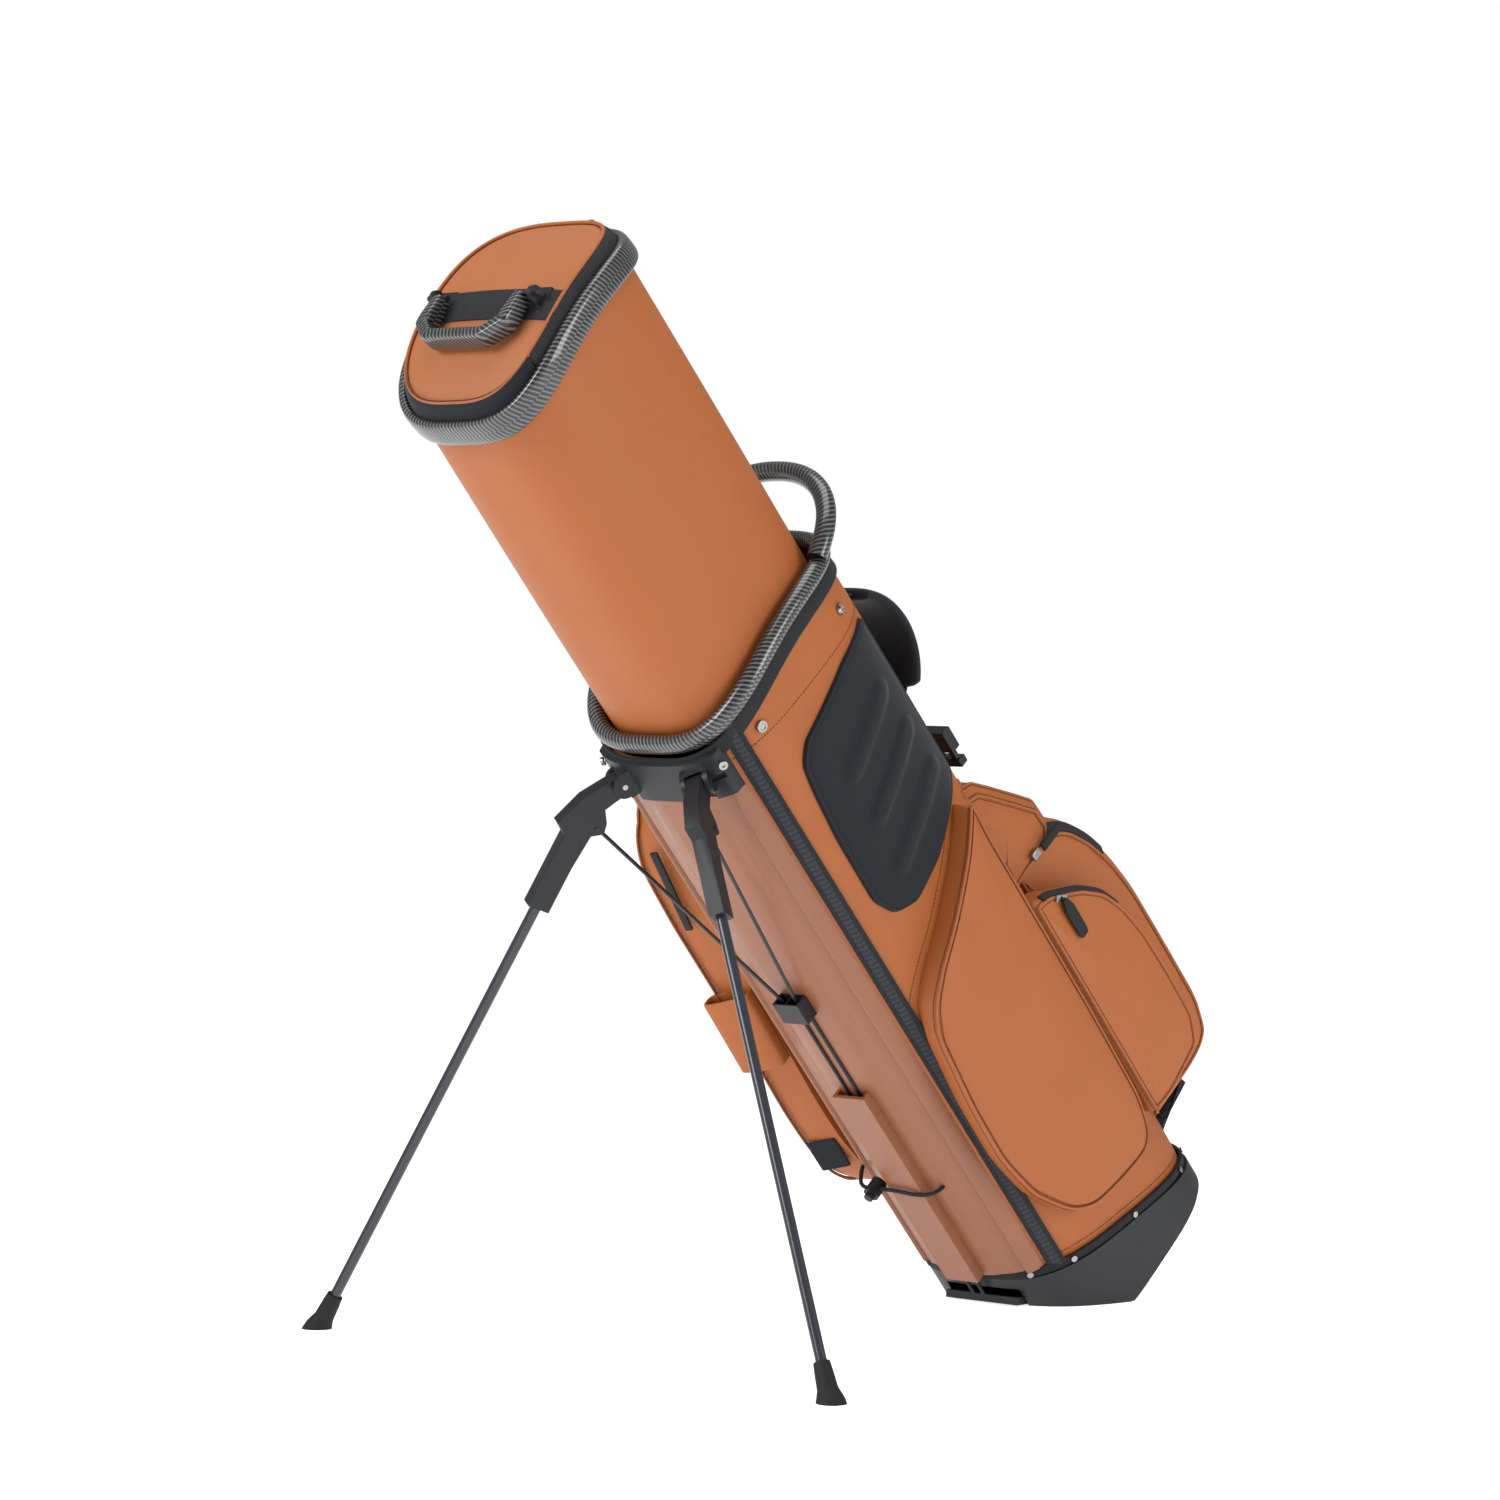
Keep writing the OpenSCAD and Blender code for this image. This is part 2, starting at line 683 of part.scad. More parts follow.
module base_shell() {
    color("darkslategray") lean() difference() {
        intersection() {
            union() {
                base_slab(8, 160, 3, 5);
                base_slab(3, 5, 0, 2);
                base_slab(0, 3, -5, -4);
            }
            below(band_z - 1, -band_fall);
        }
        intersection() {
            body_prism(-body_wall, 12, 212);
            translate([0, 0, 14]) rotate([0, lean_angle, 0]) translate([-heel_x + 12, -BIG, -BIG + 20]) cube(2 * BIG);
            translate([-60, -BIG, 0]) cube(2 * BIG);
        }
        under_floor();
        intersection() {
            translate([-BIG, -recess_y, -BIG]) cube([BIG - recess_x, 2 * recess_y, 2 * BIG]);
            union() {
                under_floor(18);
                translate([-BIG - 100, -BIG, -BIG]) cube([BIG, 2 * BIG, BIG + 96]);
            }
        }
        rod_tunnel();
        flap_hinge() rotate([90, 0, 0])
            cylinder(h = 2 * recess_y + 24, r = pin_r + pin_gap, center = true, $fn = 36);
    }
}

module rod_tunnel() {
    translate([-channel_x + 4, -channel_y + 4, 40]) cube([12, 2 * channel_y - 8, 120]);
}

module flap_hinge() {
    translate([-recess_x - 7, 0, (recess_x + 7 - heel_x) * tan(lean_angle) + 8.8]) children();
}

flap_length = 78;
module base_flap() {
    color("black") lean() flap_hinge() {
        rotate([90, 0, 0]) cylinder(h = 2 * recess_y - 2, r = 6, center = true, $fn = 36);
        rotate([90, 0, 0]) cylinder(h = 2 * recess_y + 20, r = pin_r, center = true, $fn = 36);
        rotate([0, lean_angle, 0]) translate([-flap_length, -recess_y + 1, -5])
            cube([flap_length, 2 * recess_y - 2, 8]);
    }
}

module base_band() {
    color("black") lean() body_layer(SLIT, 4, band_z - 0.6, -band_fall, band_z + 8.6, -band_fall);
}

module base_rivets() {
    color("silver") lean() for (t = [0:30:330]) {
        p = oval(body_a + 4.7, body_b + 4.7, OVAL_POWER, 12)[round(t / 30)] + [body_x, 0];
        if (abs(p[1]) > 60 || p[0] > 0)
            translate([p[0], p[1], band_z + 4 - p[0] * band_slope]) 
                rotate([0, 90, atan2(p[1] / pow(body_b, 2), (p[0] - body_x) / pow(body_a, 2))])
                cylinder(h = 1.6, r = 3.4, $fn = 24);
    }
}

// ---- hood ----------------------------------------------------------------------------------

module hood_tube() {
    color("chocolate") lean() intersection() {
        difference() {
            hood_prism(0, hood_low, 1300);
            hood_prism(-hood_wall, hood_low - 1, 1301);
        }
        below(hood_z + 28, collar_rise);
    }
}

module hood_rim() {
    color("dimgray") lean() {
        difference() {
            oval_ring(hood_x, hood_a + 1, hood_b + 1, hood_z + 16, collar_rise + 0.6, 8, 12);
            hood_prism(SLIT, 1000, 1400);
        }
    }
}

lid_z = 1293;
module lid_panel() {
    color("chocolate") lean() intersection() {
        hood_prism(-0.4, 1200, 1400);
        difference() {
            below(lid_z + 6, lid_rise);
            below(lid_z - 18, lid_rise);
        }
    }
}

// Zip tape round the hood's mouth, open at the front where the lid's hinge runs.
module lid_band(inner, outer) {
    intersection() {
        difference() {
            hood_prism(outer, 1150, 1400);
            hood_prism(inner, 1150, 1400);
        }
        difference() {
            below(lid_z - 4, lid_rise);
            below(hood_z + 30.6, collar_rise + 0.6);
        }
    }
}

hinge_x = 60;
module lid_hinge() {
    color("black") lean() intersection() {
        lid_band(0.3, 3);
        translate([-BIG - hinge_x, -BIG, 0]) cube([BIG, 2 * BIG, 2 * BIG]);
    }
}

module lid_zip() {
    color("black") lean() difference() {
        lid_band(0.3, 3.5);
        translate([-BIG - hinge_x + 0.4, -BIG, 0]) cube([BIG, 2 * BIG, 2 * BIG]);
    }
}

lid_mount_x = 3;
lid_mount_y = 64;
lid_top = lid_z + 6;
module on_lid() {
    translate([0, 0, lid_top]) rotate([0, -lid_rise, 0]) children();
}

module lid_mounts() {
    color("black") lean() on_lid() for (s = [-1, 1]) difference() {
        union() {
            translate([lid_mount_x - 15, s * lid_mount_y - 10, 0.1]) cube([30, 20, 2.6]);
            translate([lid_mount_x - 8, s > 0 ? lid_mount_y : -lid_mount_y - 5, 0.1]) cube([16, 5, 12]);
            translate([lid_mount_x, s * lid_mount_y + s * 2.5, 12]) rotate([90, 0, 0])
                cylinder(h = 5, r = 8, center = true, $fn = 36);
            translate([lid_mount_x, s * lid_mount_y, 12]) rotate([90, 0, 0])
                cylinder(h = 26, r = pin_r, center = true, $fn = 36);
        }
    }
}

module lid_handle() {
    bar = 8;
    color("dimgray") lean() on_lid() difference() {
        union() {
            for (s = [-1, 1]) {
                translate([lid_mount_x, s * (lid_mount_y - 7), 12]) rotate([90, 0, 0])
                    cylinder(h = 10, r = 9, center = true, $fn = 36);
                linear_piece([lid_mount_x, s * (lid_mount_y - 7)], [-34, s * (lid_mount_y - 7)]);
                linear_piece([-34, s * (lid_mount_y - 7)], [-52, s * 38]);
            }
            linear_piece([-52, 38], [-52, -38]);
        }
        for (s = [-1, 1]) translate([lid_mount_x, s * lid_mount_y, 12]) rotate([90, 0, 0])
            cylinder(h = 40, r = pin_r + pin_gap, center = true, $fn = 36);
    }
}

// A square bar with round ends from one point of the lid to another.
module linear_piece(p, q) {
    translate([0, 0, 5]) linear_extrude(14) hull() {
        translate(p) circle(r = 6, $fn = 32);
        translate(q) circle(r = 6, $fn = 32);
    }
}

module lid_sliders() {
    color("silver") lean() on_lid() for (s = [-1, 1])
        translate([hood_x + hood_a + 8, s * 26, -12]) cube([4, 12, 9], center = true);
}

body_shell();
divider_grid();
spine_shell();
spine_strips();
collar_ring();
collar_band();
collar_handle();
hip_pad();
side_pocket();
side_zip();
valuables_pocket();
ball_pocket();
ball_zip();
cooler_pocket();
cooler_zip();
far_pocket();
far_zip();
tee_sleeve();
towel_loop();
label_patch();
mesh_gore();
snap_buttons();
side_slider();
side_pull();
ball_slider();
ball_pull();
cooler_slider();
cooler_pull();
strap_pad();
strap_webbing();
strap_tab();
buckle_socket();
buckle_tongue();
stand_bracket();
bracket_screws();
leg_pins();
knuckle_near();
leg_near();
foot_near();
knuckle_far();
leg_far();
foot_far();
rod_near();
rod_far();
rod_carriage();
loop_cord();
cord_lock();
lock_button();
base_shell();
base_band();
base_rivets();
base_flap();
hood_tube();
hood_rim();
lid_panel();
lid_hinge();
lid_mounts();
lid_handle();
lid_zip();
lid_sliders();
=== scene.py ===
# %% [markdown]
# A golf bag leans on its two fold-out legs. The frame holds every hard part where it belongs, and
# this lesson dresses it: leather, moulded plastic, woven webbing, zips and striped carbon trim.

# %% Load the frame
import bpy
import bmesh
import json
import math
import mathutils
import numpy as np
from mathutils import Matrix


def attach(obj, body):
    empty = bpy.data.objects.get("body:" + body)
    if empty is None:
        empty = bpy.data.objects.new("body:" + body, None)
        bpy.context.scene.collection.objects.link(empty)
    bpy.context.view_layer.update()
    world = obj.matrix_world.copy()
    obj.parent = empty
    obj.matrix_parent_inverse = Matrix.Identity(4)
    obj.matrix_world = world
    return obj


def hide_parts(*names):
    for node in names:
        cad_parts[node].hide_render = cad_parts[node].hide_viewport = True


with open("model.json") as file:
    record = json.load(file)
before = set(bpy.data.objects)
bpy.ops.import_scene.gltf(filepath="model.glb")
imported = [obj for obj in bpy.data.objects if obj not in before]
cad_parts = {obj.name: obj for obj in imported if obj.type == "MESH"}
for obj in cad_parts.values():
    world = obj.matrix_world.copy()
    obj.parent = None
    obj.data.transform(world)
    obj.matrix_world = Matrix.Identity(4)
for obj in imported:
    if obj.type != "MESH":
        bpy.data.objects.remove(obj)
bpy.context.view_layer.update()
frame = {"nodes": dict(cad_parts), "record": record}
RECORD = frame["record"]
BODY_OF = {node: body for body, nodes in RECORD["behaviour"]["bodies"].items() for node in nodes}
SLOT_OF = {part["node"]: part["material_slot"] for part in RECORD["subparts"]}

# %% [markdown]
# A leaning bag is awkward to draw. So every shape is worked out in the bag's own upright axes, in
# millimetres: x from the legs to the rear pockets, y across, z up from the flat of the base. One
# function then leans the finished points over and turns them into metres. Every tilted edge is
# given by its height on the centre line and its slope.

# %% The bag's own axes
LEAN = math.radians(40.9)
REST_X = -48.0
REST_Z = 12 * math.tan(LEAN)
BODY = dict(centre=16, a=135, b=104)
HOOD = dict(centre=14, a=117, b=94)
RING = dict(centre=18, a=131, b=105)
COLLAR_Z, COLLAR_SLOPE = 874.0, math.tan(math.radians(8.0))
BAND_Z, BAND_SLOPE = 76.0, -math.tan(math.radians(16.5))
RIM_Z, RIM_SLOPE = 1263.0, math.tan(math.radians(8.0))
LID_Z, LID_SLOPE = 1290.6, math.tan(math.radians(9.0))
ZIP_Z, ZIP_SLOPE = 1280.5, math.tan(math.radians(8.5))
LID_CROWN = 5
OVAL_POWER = 3.2
print("the bag leans", round(math.degrees(LEAN), 1), "degrees")


def place(points):
    """Leans points of the bag's axes: shift the rest point to the origin, turn about Y, mm to m."""
    p = np.asarray(points, float)
    x = p[..., 0] - REST_X
    z = p[..., 2] - REST_Z
    ahead = x * math.cos(LEAN) - z * math.sin(LEAN)
    above = x * math.sin(LEAN) + z * math.cos(LEAN)
    return np.stack([ahead, p[..., 1], above], -1) / 1000


def unit(vectors):
    """Each vector divided by its own length."""
    return vectors / np.maximum(np.linalg.norm(vectors, axis=-1, keepdims=True), 1e-9)


# %% [markdown]
# Most outlines on a bag are ovals or rounded panels. It helps to have their points evenly spaced,
# because stripes, stitches and zip teeth then come out evenly too.

# %% Paths
def even(path, count, closed=True):
    """Points at equal steps of length along a path."""
    p = np.asarray(path, float)
    p = np.vstack([p, p[:1]]) if closed else p
    length = np.r_[0, np.cumsum(np.linalg.norm(np.diff(p, axis=0), axis=1))]
    steps = np.linspace(0, length[-1], count + 1)[:-1] if closed else np.linspace(0, length[-1], count)
    return np.stack([np.interp(steps, length, p[:, k]) for k in range(p.shape[1])], 1)


def soften(path, times, closed=True):
    """Each point moves to a quarter of both neighbours plus half of itself, several times."""
    p = path.copy()
    for _ in range(times):
        mixed = (np.roll(p, 1, 0) + 2 * p + np.roll(p, -1, 0)) / 4
        p = mixed if closed else np.vstack([p[:1], mixed[1:-1], p[-1:]])
    return p


def open_line(corners, times, count):
    """An open path through the corners: evened, softened, and evened again."""
    return even(soften(even(corners, count, closed=False), times, closed=False), count, closed=False)


def upright(flat, y):
    """Flat points (x, z) stood up at y, which may differ from point to point."""
    return np.column_stack([flat[:, 0], np.broadcast_to(y, len(flat)), flat[:, 1]])


def oval(shape, grow=0.0, count=240, power=OVAL_POWER):
    """Squared ellipse |x/a|^p + |y/b|^p = 1 about the shape's centre, evenly spaced."""
    t = np.linspace(0, 2 * np.pi, 2400, endpoint=False)
    c, s = np.cos(t), np.sin(t)
    x = (shape["a"] + grow) * np.sign(c) * np.abs(c) ** (2 / power)
    y = (shape["b"] + grow) * np.sign(s) * np.abs(s) ** (2 / power)
    return even(np.stack([x + shape["centre"], y], 1), count)


def flank(x):
    """Half width of the body's oval at x: b (1 - |x/a|^p)^(1/p)."""
    inside = np.clip(1 - np.abs((x - BODY["centre"]) / BODY["a"]) ** OVAL_POWER, 0, 1)
    return BODY["b"] * inside ** (1 / OVAL_POWER)


def body_rear(y):
    """How far back the body's oval reaches at y: a (1 - |y/b|^p)^(1/p) behind its centre."""
    inside = np.clip(1 - np.abs(y / BODY["b"]) ** OVAL_POWER, 0, 1)
    return BODY["centre"] + BODY["a"] * inside ** (1 / OVAL_POWER)


def arched(x, shape, height=22.0):
    """The top edges are arched: height (1/2 - (x/a)^2), so the sides stand over the two ends."""
    return height * (0.5 - ((x - shape["centre"]) / shape["a"]) ** 2)


def on_plane(path, z, slope, shape=None):
    """Flat points lifted on to a plane through z on the centre line, arched if a shape is given."""
    lift = arched(path[:, 0], shape) if shape else 0
    return np.stack([path[:, 0], path[:, 1], z + slope * path[:, 0] + lift], 1)


# %% [markdown]
# A sweep carries a small section along a path. Tubes, webbing, piping and zips are all sweeps. The
# up vector keeps a flat section from twisting on its way.

# %% Sweeps
def round_section(across, up, count=16, power=2.0):
    """Closed section: a circle at power 2, nearly a rectangle at power 6."""
    t = np.linspace(0, 2 * np.pi, count, endpoint=False)
    c, s = np.cos(t), np.sin(t)
    return np.stack([across * np.sign(c) * np.abs(c) ** (2 / power),
                     up * np.sign(s) * np.abs(s) ** (2 / power)], 1)


def sweep(path, section, up, closed=False, scale=None):
    """Grid of points: path point + section x (tangent x up) + section y (the third axis)."""
    p = np.asarray(path, float)
    ahead = np.roll(p, -1, 0) - np.roll(p, 1, 0)
    if not closed:
        ahead[0] = p[1] - p[0]
        ahead[-1] = p[-1] - p[-2]
    tangent = unit(ahead)
    out = unit(np.cross(tangent, np.broadcast_to(np.asarray(up, float), p.shape)))
    rise = np.cross(out, tangent)
    size = np.ones(len(p)) if scale is None else np.asarray(scale, float)
    sec = section[None] * size[:, None, None]
    return p[:, None] + sec[..., :1] * out[:, None] + sec[..., 1:] * rise[:, None]


# %% [markdown]
# Every surface here is a grid of points. One helper turns grids into a mesh: it joins the edges
# that meet, closes the ends, lays a UV map measured in metres, and hands the piece to its body.

# %% From grids to pieces
def grid_faces(rows, cols, start, around, along):
    """Quads between neighbouring rows and columns, wrapping where the grid meets itself."""
    i, j = np.meshgrid(np.arange(rows if along else rows - 1),
                       np.arange(cols if around else cols - 1), indexing="ij")
    i2, j2 = (i + 1) % rows, (j + 1) % cols
    quads = np.stack([i * cols + j, i * cols + j2, i2 * cols + j2, i2 * cols + j], -1).reshape(-1, 4)
    steps = np.stack([i, j, i, j + 1, i + 1, j + 1, i + 1, j], -1).reshape(-1, 4, 2)
    return quads + start, steps


def lengths(points, axis):
    """Mean running length of the grid along one axis, with one more step for a wrapped edge."""
    gaps = np.linalg.norm(np.roll(points, -1, axis) - points, axis=2).mean(1 - axis)
    return np.r_[0, np.cumsum(gaps)] / 1000


def dress(piece, node, finish, hide=True):
    """Gives a piece its material and its body, and hides the node that it stands for unless hide is
    false.
    """
    piece.data.materials.clear()
    piece.data.materials.append(finish)
    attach(piece, BODY_OF[node])
    if hide:
        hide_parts(node)
    return piece


def skin(name, grids, node, finish, around=True, along=False, sharp=40, hide=True):
    """One object from grids of points in the bag's axes; open ends are closed with a face."""
    grids = grids if isinstance(grids, list) else [grids]
    points, faces, maps, start = [], [], [], 0
    for grid in grids:
        rows, cols = grid.shape[:2]
        quads, steps = grid_faces(rows, cols, start, around, along)
        u, v = lengths(grid, 1), lengths(grid, 0)
        faces += quads.tolist()
        maps.append(np.stack([u[steps[..., 1]], v[steps[..., 0]]], -1).reshape(-1, 2))
        if around and not along:
            faces += [list(range(start, start + cols))[::-1],
                      list(range(start + (rows - 1) * cols, start + rows * cols))]
            maps.append(np.zeros((2 * cols, 2)))
        points.append(grid.reshape(-1, 3))
        start += rows * cols
    mesh = bpy.data.meshes.new(name)
    mesh.from_pydata(place(np.vstack(points)).tolist(), [], faces)
    layer = mesh.uv_layers.new(name="UVMap")
    layer.data.foreach_set("uv", np.vstack(maps).astype(np.float32).ravel())
    return finish_mesh(name, mesh, node, finish, sharp, hide)


def put(name, data):
    """A new object in the scene."""
    made = bpy.data.objects.new(name, data)
    bpy.context.scene.collection.objects.link(made)
    return made


def finish_mesh(name, mesh, node, finish, sharp, hide=True):
    """Turns all faces outwards, shades smooth between sharp edges, and makes the object."""
    work = bmesh.new()
    work.from_mesh(mesh)
    bmesh.ops.recalc_face_normals(work, faces=work.faces)
    work.to_mesh(mesh)
    work.free()
    mesh.shade_smooth()
    mesh.set_sharp_from_angle(angle=math.radians(sharp))
    print(name, len(mesh.vertices), "points")
    return dress(put(name, mesh), node, finish, hide)


def eased_copy(node, finish, edge, angle=32):
    """A merged copy of a hard part, shaded smooth, with its sharp edges eased by a bevel."""
    mesh = frame["nodes"][node].data.copy()
    work = bmesh.new()
    work.from_mesh(mesh)
    bmesh.ops.remove_doubles(work, verts=work.verts, dist=2e-6)
    bmesh.ops.dissolve_limit(work, angle_limit=0.012, verts=work.verts, edges=work.edges)
    work.to_mesh(mesh)
    work.free()
    mesh.shade_smooth()
    mesh.set_sharp_from_angle(angle=math.radians(angle))
    piece = put(node + "_eased", mesh)
    if edge:
        bevel = piece.modifiers.new("eased edges", "BEVEL")
        bevel.width = edge
        bevel.segments = 2
        bevel.limit_method = "ANGLE"
        bevel.angle_limit = math.radians(angle)
        bevel.harden_normals = False
    return dress(piece, node, finish)


# %% [markdown]
# Shader maths reads best as arithmetic. The Value class wraps one socket, so that a sum of two
# values adds the Math node by itself. Paint.node makes every other kind of node.

# %% Shader arithmetic
def both_ways(operation):
    """The methods for value + number and for number + value, with any other operation."""
    def forward(self, other):
        return self.math(operation, self, other)

    def reflected(self, other):
        return self.math(operation, other, self)

    return forward, reflected


class Value:
    """One output socket that can stand in Python sums."""

    __add__, __radd__ = both_ways("ADD")
    __sub__, __rsub__ = both_ways("SUBTRACT")
    __mul__, __rmul__ = both_ways("MULTIPLY")
    least = both_ways("MINIMUM")[0]
    most = both_ways("MAXIMUM")[0]

    def __init__(self, paint, socket):
        self.paint, self.socket = paint, socket

    def math(self, operation, first, second=None):
        values = {0: first} if second is None else {0: first, 1: second}
        return self.paint.node("ShaderNodeMath", {"operation": operation}, values)

    def wave(self):
        return self.math("SINE", self)


class Paint:
    """A node material, built round one Principled shader."""

    def __init__(self, name, **fixed):
        self.material = bpy.data.materials.new(name)
        self.material.use_nodes = True
        self.tree = self.material.node_tree
        self.shader = self.tree.nodes["Principled BSDF"]
        for socket, value in fixed.items():
            self.shader.inputs[socket.replace("_", " ")].default_value = value

    def node(self, kind, settings=None, values=None, out=0):
        made = self.tree.nodes.new(kind)
        for key, value in (settings or {}).items():
            setattr(made, key, value)
        for key, value in (values or {}).items():
            if isinstance(value, Value):
                self.tree.links.new(value.socket, made.inputs[key])
            else:
                made.inputs[key].default_value = value
        return Value(self, made.outputs[out])

    def where(self, kind="Object"):
        return self.node("ShaderNodeTexCoord", out=kind)

    def noise(self, scale, detail=4.0, rough=0.55):
        return self.node("ShaderNodeTexNoise", values={
            "Vector": self.where(), "Scale": scale, "Detail": detail, "Roughness": rough})

    def cell_edges(self, scale):
        return self.node("ShaderNodeTexVoronoi", {"feature": "DISTANCE_TO_EDGE"},
                         {"Vector": self.where(), "Scale": scale})

    def split(self, vector):
        made = self.tree.nodes.new("ShaderNodeSeparateXYZ")
        self.tree.links.new(vector.socket, made.inputs[0])
        return [Value(self, made.outputs[k]) for k in range(3)]

    def blend(self, factor, first, second):
        """Colour between first and second by the factor."""
        first, second = (c if isinstance(c, Value) else (*c, 1) for c in (first, second))
        return self.node("ShaderNodeMix", {"data_type": "RGBA"}, {0: factor, 6: first, 7: second}, 2)

    def bump(self, height, depth, strength):
        return self.node("ShaderNodeBump", values={
            "Height": height, "Distance": depth, "Strength": strength})

    def feed(self, **links):
        for socket, value in links.items():
            self.tree.links.new(value.socket, self.shader.inputs[socket.replace("_", " ")])
        return self.material


# %% [markdown]
# The bag's cover is smooth coated leather in tan. Close up it has a fine pebble grain; further off
# there are slow changes of tone and faint creases. The grain also breaks up the gloss.

# %% Leather
def leather(name, pale, deep, rough=0.46):
    """Cell edges give the pebbles, two noises the tone and the creases."""
    paint = Paint(name, Coat_Weight=0.05, Coat_Roughness=0.4, Specular_IOR_Level=0.3)
    pebble = paint.cell_edges(950)
    tone = paint.noise(9, 3)
    crease = paint.noise(70, 6, 0.6)
    grain = (pebble * 2.2).least(1)
    shade = (tone * 0.75 + crease * 0.35 - 0.05).least(1)
    colour = paint.blend(shade, deep, pale)
    height = grain * 0.35 + crease * 0.65
    return paint.feed(Base_Color=paint.blend(grain * 0.5 + 0.5, deep, colour),
                      Roughness=rough + 0.14 * crease - 0.08 * grain,
                      Normal=paint.bump(height, 0.00035, 0.55))


TAN = leather("tan_leather", (0.400, 0.122, 0.028), (0.310, 0.084, 0.017))
LID_TAN = leather("lid_leather", (0.400, 0.138, 0.048), (0.310, 0.100, 0.032), 0.5)
PIPING = leather("leather_piping", (0.390, 0.118, 0.029), (0.290, 0.078, 0.017), 0.42)
print("leather", TAN.name, LID_TAN.name, PIPING.name)

# %% [markdown]
# The moulded parts are satin plastic. A moulding has a faint spark texture, and its edges and
# broad faces don't gleam alike, so the roughness wanders a little.

# %% Moulded plastic and rubber
def moulded(name, pale, deep, rough, spark=900, depth=0.00012, coat=0.0, gloss=0.5):
    """Two noises: a fine one for the spark texture, a broad one for uneven gloss."""
    paint = Paint(name, Coat_Weight=coat, Coat_Roughness=0.2, Specular_IOR_Level=gloss)
    fine = paint.noise(spark, 2)
    broad = paint.noise(14, 4)
    return paint.feed(Base_Color=paint.blend(broad * 0.9, deep, pale),
                      Roughness=rough + 0.16 * broad + 0.08 * fine - 0.1,
                      Normal=paint.bump(fine, depth, 0.5))


SHELL = moulded("tan_shell", (0.280, 0.098, 0.042), (0.220, 0.074, 0.030), 0.42, coat=0.15)
PLASTIC = moulded("black_plastic", (0.013, 0.015, 0.020), (0.007, 0.008, 0.011), 0.42, gloss=0.35)
RUBBER = moulded("black_rubber", (0.010, 0.011, 0.013), (0.005, 0.005, 0.006), 0.62,
                 spark=700, depth=0.0002, gloss=0.3)
STEEL = moulded("black_steel", (0.012, 0.013, 0.016), (0.006, 0.007, 0.009), 0.36,
                spark=500, depth=0.00005, coat=0.15, gloss=0.35)
print("plastics", SHELL.name, PLASTIC.name, RUBBER.name, STEEL.name)


# %% [markdown]
# The rings and handles are wrapped in ribbons of carbon cloth under clear lacquer. The pale and
# dark ribbons cross the tube at a slight angle, and each ribbon is itself made of fine fibres. The
# UV map runs round the tube in u and along it in v, so stripes are a wave of v with a little u.

# %% Striped carbon
def striped(name, pitch, slant, pale=(0.17, 0.175, 0.175), dark=(0.002, 0.002, 0.003)):
    """Wave of (v + slant u) / pitch, sharpened; the fibres are a much finer wave."""
    paint = Paint(name, Coat_Weight=0.7, Coat_Roughness=0.08, Specular_IOR_Level=0.4)
    u, v, _ = paint.split(paint.where("UV"))
    wave = ((v + u * slant) * (2 * math.pi / pitch)).wave()
    band = (wave * 2.6 - 0.5).least(1).most(0)
    fibre = (u * 9000 + v * 500).wave() * 0.5 + 0.5
    cloud = paint.noise(26, 3)
    bright = band * (0.7 + 0.3 * fibre) * (0.35 + 1.1 * cloud)
    return paint.feed(Base_Color=paint.blend(bright.least(1), dark, pale),
                      Metallic=band * 0.3,
                      Roughness=0.34 + 0.12 * fibre,
                      Normal=paint.bump(band, 0.00018, 0.5))


CARBON = striped("carbon_trim", 0.0048, 0.45)
FINE_CARBON = striped("carbon_rim", 0.0046, 0.30)
print("carbon", CARBON.name, FINE_CARBON.name)


# %% [markdown]
# The leg tubes are dark carbon too, but of a fine even weave that hardly shows.

# %% Dark woven tube for the legs
def woven_tube():
    """Twill: two crossed waves stepped against each other, read from the leg's own UV map."""
    paint = Paint("leg_carbon", Coat_Weight=0.35, Coat_Roughness=0.15, Specular_IOR_Level=0.4)
    u, v, _ = paint.split(paint.where("UV"))
    twill = (((u + v) * 2600).wave() * ((u - v) * 2600).wave()) * 0.5 + 0.5
    return paint.feed(Base_Color=paint.blend(twill, (0.009, 0.011, 0.016), (0.028, 0.033, 0.044)),
                      Roughness=0.36 - 0.1 * twill,
                      Normal=paint.bump(twill, 0.0001, 0.4))


LEG = woven_tube()
print("legs", LEG.name)


# %% [markdown]
# Cloth needs its threads. Webbing shows ribs across its width with a herringbone of carbon
# ribbons, padding fabric a tight plain weave, and the mesh gore small holes.

# %% Cloth
def plain_weave(name, pale, deep, threads=1500, rough=0.8, sheen=0.12):
    """Over-and-under checks: the product of two waves on the object's own coordinates."""
    paint = Paint(name, Sheen_Weight=sheen, Sheen_Roughness=0.45, Specular_IOR_Level=0.2)
    x, y, z = paint.split(paint.where())
    over = ((x + y) * threads).wave() * ((z - x) * threads).wave()
    cloud = paint.noise(18, 4)
    thread = over * 0.5 + 0.5
    return paint.feed(Base_Color=paint.blend((thread * 0.7 + cloud * 0.4).least(1), deep, pale),
                      Roughness=rough + 0.1 * thread,
                      Normal=paint.bump(thread, 0.0002, 0.6))


